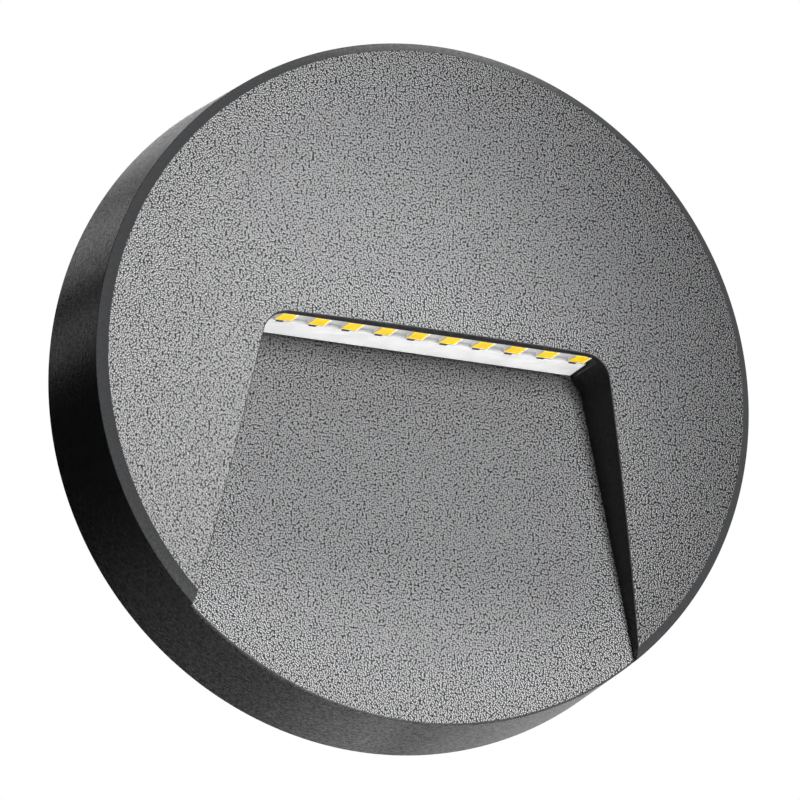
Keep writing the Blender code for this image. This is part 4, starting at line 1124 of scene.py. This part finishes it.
def set_screws(mesh, places, seed, material):
    """Copies of a screw at places, each a point and the angles that lay it down."""
    points = bpy.data.meshes.new("points")
    points.from_pydata([place for place, lie in places], [], [])
    lies = points.attributes.new("lie", "FLOAT_VECTOR", "POINT")
    for number, (place, lie) in enumerate(places):
        lies.data[number].vector = lie
    pattern, piece = loose_object("pattern", mesh), loose_object("points", points)
    return made_by(screw_setter, piece, pattern, Screw=pattern, Seed=seed, Finish=material)


def head_place(node, upright):
    """Where the head's underside of a solid's screw is, and how the screw lies."""
    low, high = bench_box(node)
    middle = (low + high) / 2
    if upright:
        return (middle.x, high.y - head_height, middle.z), (-math.pi / 2, 0, 0)
    return (middle.x, middle.y, low.z + head_height), (math.pi, 0, 0)


print("screw setter takes", list(screw_setter[1]))

# %% [markdown]
# The cover's, the tray's and the earth screw go in from the back, and the heat bar's two from above.
# The two set screws lie aslant in the side wall. Each belongs to a body of its own, because each backs
# out by itself, so they are laid down one at a time along the lines found for their holes.

# %% Set the screws
screw_groups = {"cover_screws": ([f"cover_screw_{i}" for i in (1, 2, 3, 4)], 8.0 * mm, False),
                "bar_screws": (["bar_screw_left", "bar_screw_right"], 8.5 * mm, True),
                "tray_screws": (["tray_screw_left", "tray_screw_right"], 7.5 * mm, False),
                "earth_screws": (["earth_screw"], 7.5 * mm, False)}
first_seed = 3
for seed, (name, (nodes, length, upright)) in enumerate(screw_groups.items(), first_seed):
    mesh = set_screws(pan_head_screw(length), [head_place(node, upright) for node in nodes], seed,
                      finishes["zinc_steel"])
    hand_over(name, smoothed(mesh), "head", "zinc_steel", nodes)
for side in ("left", "right"):
    screw = socket_set_screw(2 * set_screw_half)
    screw.transform(turned_to(*set_screw_line(side)))
    solid = f"set_screw_{side}"
    hand_over(f"socket_screw_{side}", smoothed(screw), solid, "dark_steel", [solid])

# %% [markdown]
# ## Softened sheet and bar
#
# Pressed sheet and cut bar have slightly broken edges. The bracket, the rear cover, the heat bar and the
# tray keep the solids' shapes, but a copy of each gets its small triangles joined and its edges rounded
# by a fraction of a millimetre, so that they catch light from behind.

# %% Soften the edges of the sheet and the bar
def softened(node, radius, angle=40.0):
    """A copy of a solid's mesh in world directions with its sharp edges rounded."""
    shape = bmesh.new()
    shape.from_mesh(frame["nodes"][node].data)
    bmesh.ops.remove_doubles(shape, verts=shape.verts, dist=0.001 * mm)
    bmesh.ops.dissolve_limit(shape, angle_limit=math.radians(0.5), verts=shape.verts, edges=shape.edges)
    piece = loose_object(node + "_soft", as_mesh(node + "_soft", shape))
    edge = piece.modifiers.new("edge", "BEVEL")
    edge.width, edge.segments, edge.limit_method = radius, 2, "ANGLE"
    edge.angle_limit = math.radians(angle)
    return baked(piece)


soft_pieces = {"wall_bracket": ("bracket", 0.20 * mm, "zinc_steel"),
               "rear_cover": ("head", 0.15 * mm, "zinc_steel"),
               "heat_bar": ("head", 0.25 * mm, "plain_aluminium"),
               "driver_tray": ("head", 0.12 * mm, "black_plastic"),
               "cable_grommet": ("head", 0.20 * mm, "black_rubber"),
               "vent_plug": ("head", 0.15 * mm, "vent_white")}
for node, (body, radius, finish) in soft_pieces.items():
    hand_over(f"{node}_soft", smoothed(softened(node, radius)), body, finish, [node], bench=False)

# %% [markdown]
# ## Paint and finish
#
# The board, the strip and most of the driver's parts are well shaped as solids, so they only need
# their finish. The record says which finish each solid has, so one loop paints them all.

# %% Paint the solids that keep their own shape
slot_of = {part["node"]: part["material_slot"] for part in frame["record"]["subparts"]}
for name, piece in frame["nodes"].items():
    piece.data.materials.clear()
    piece.data.materials.append(finishes[slot_of[name]])
print("painted solids:", len(slot_of))
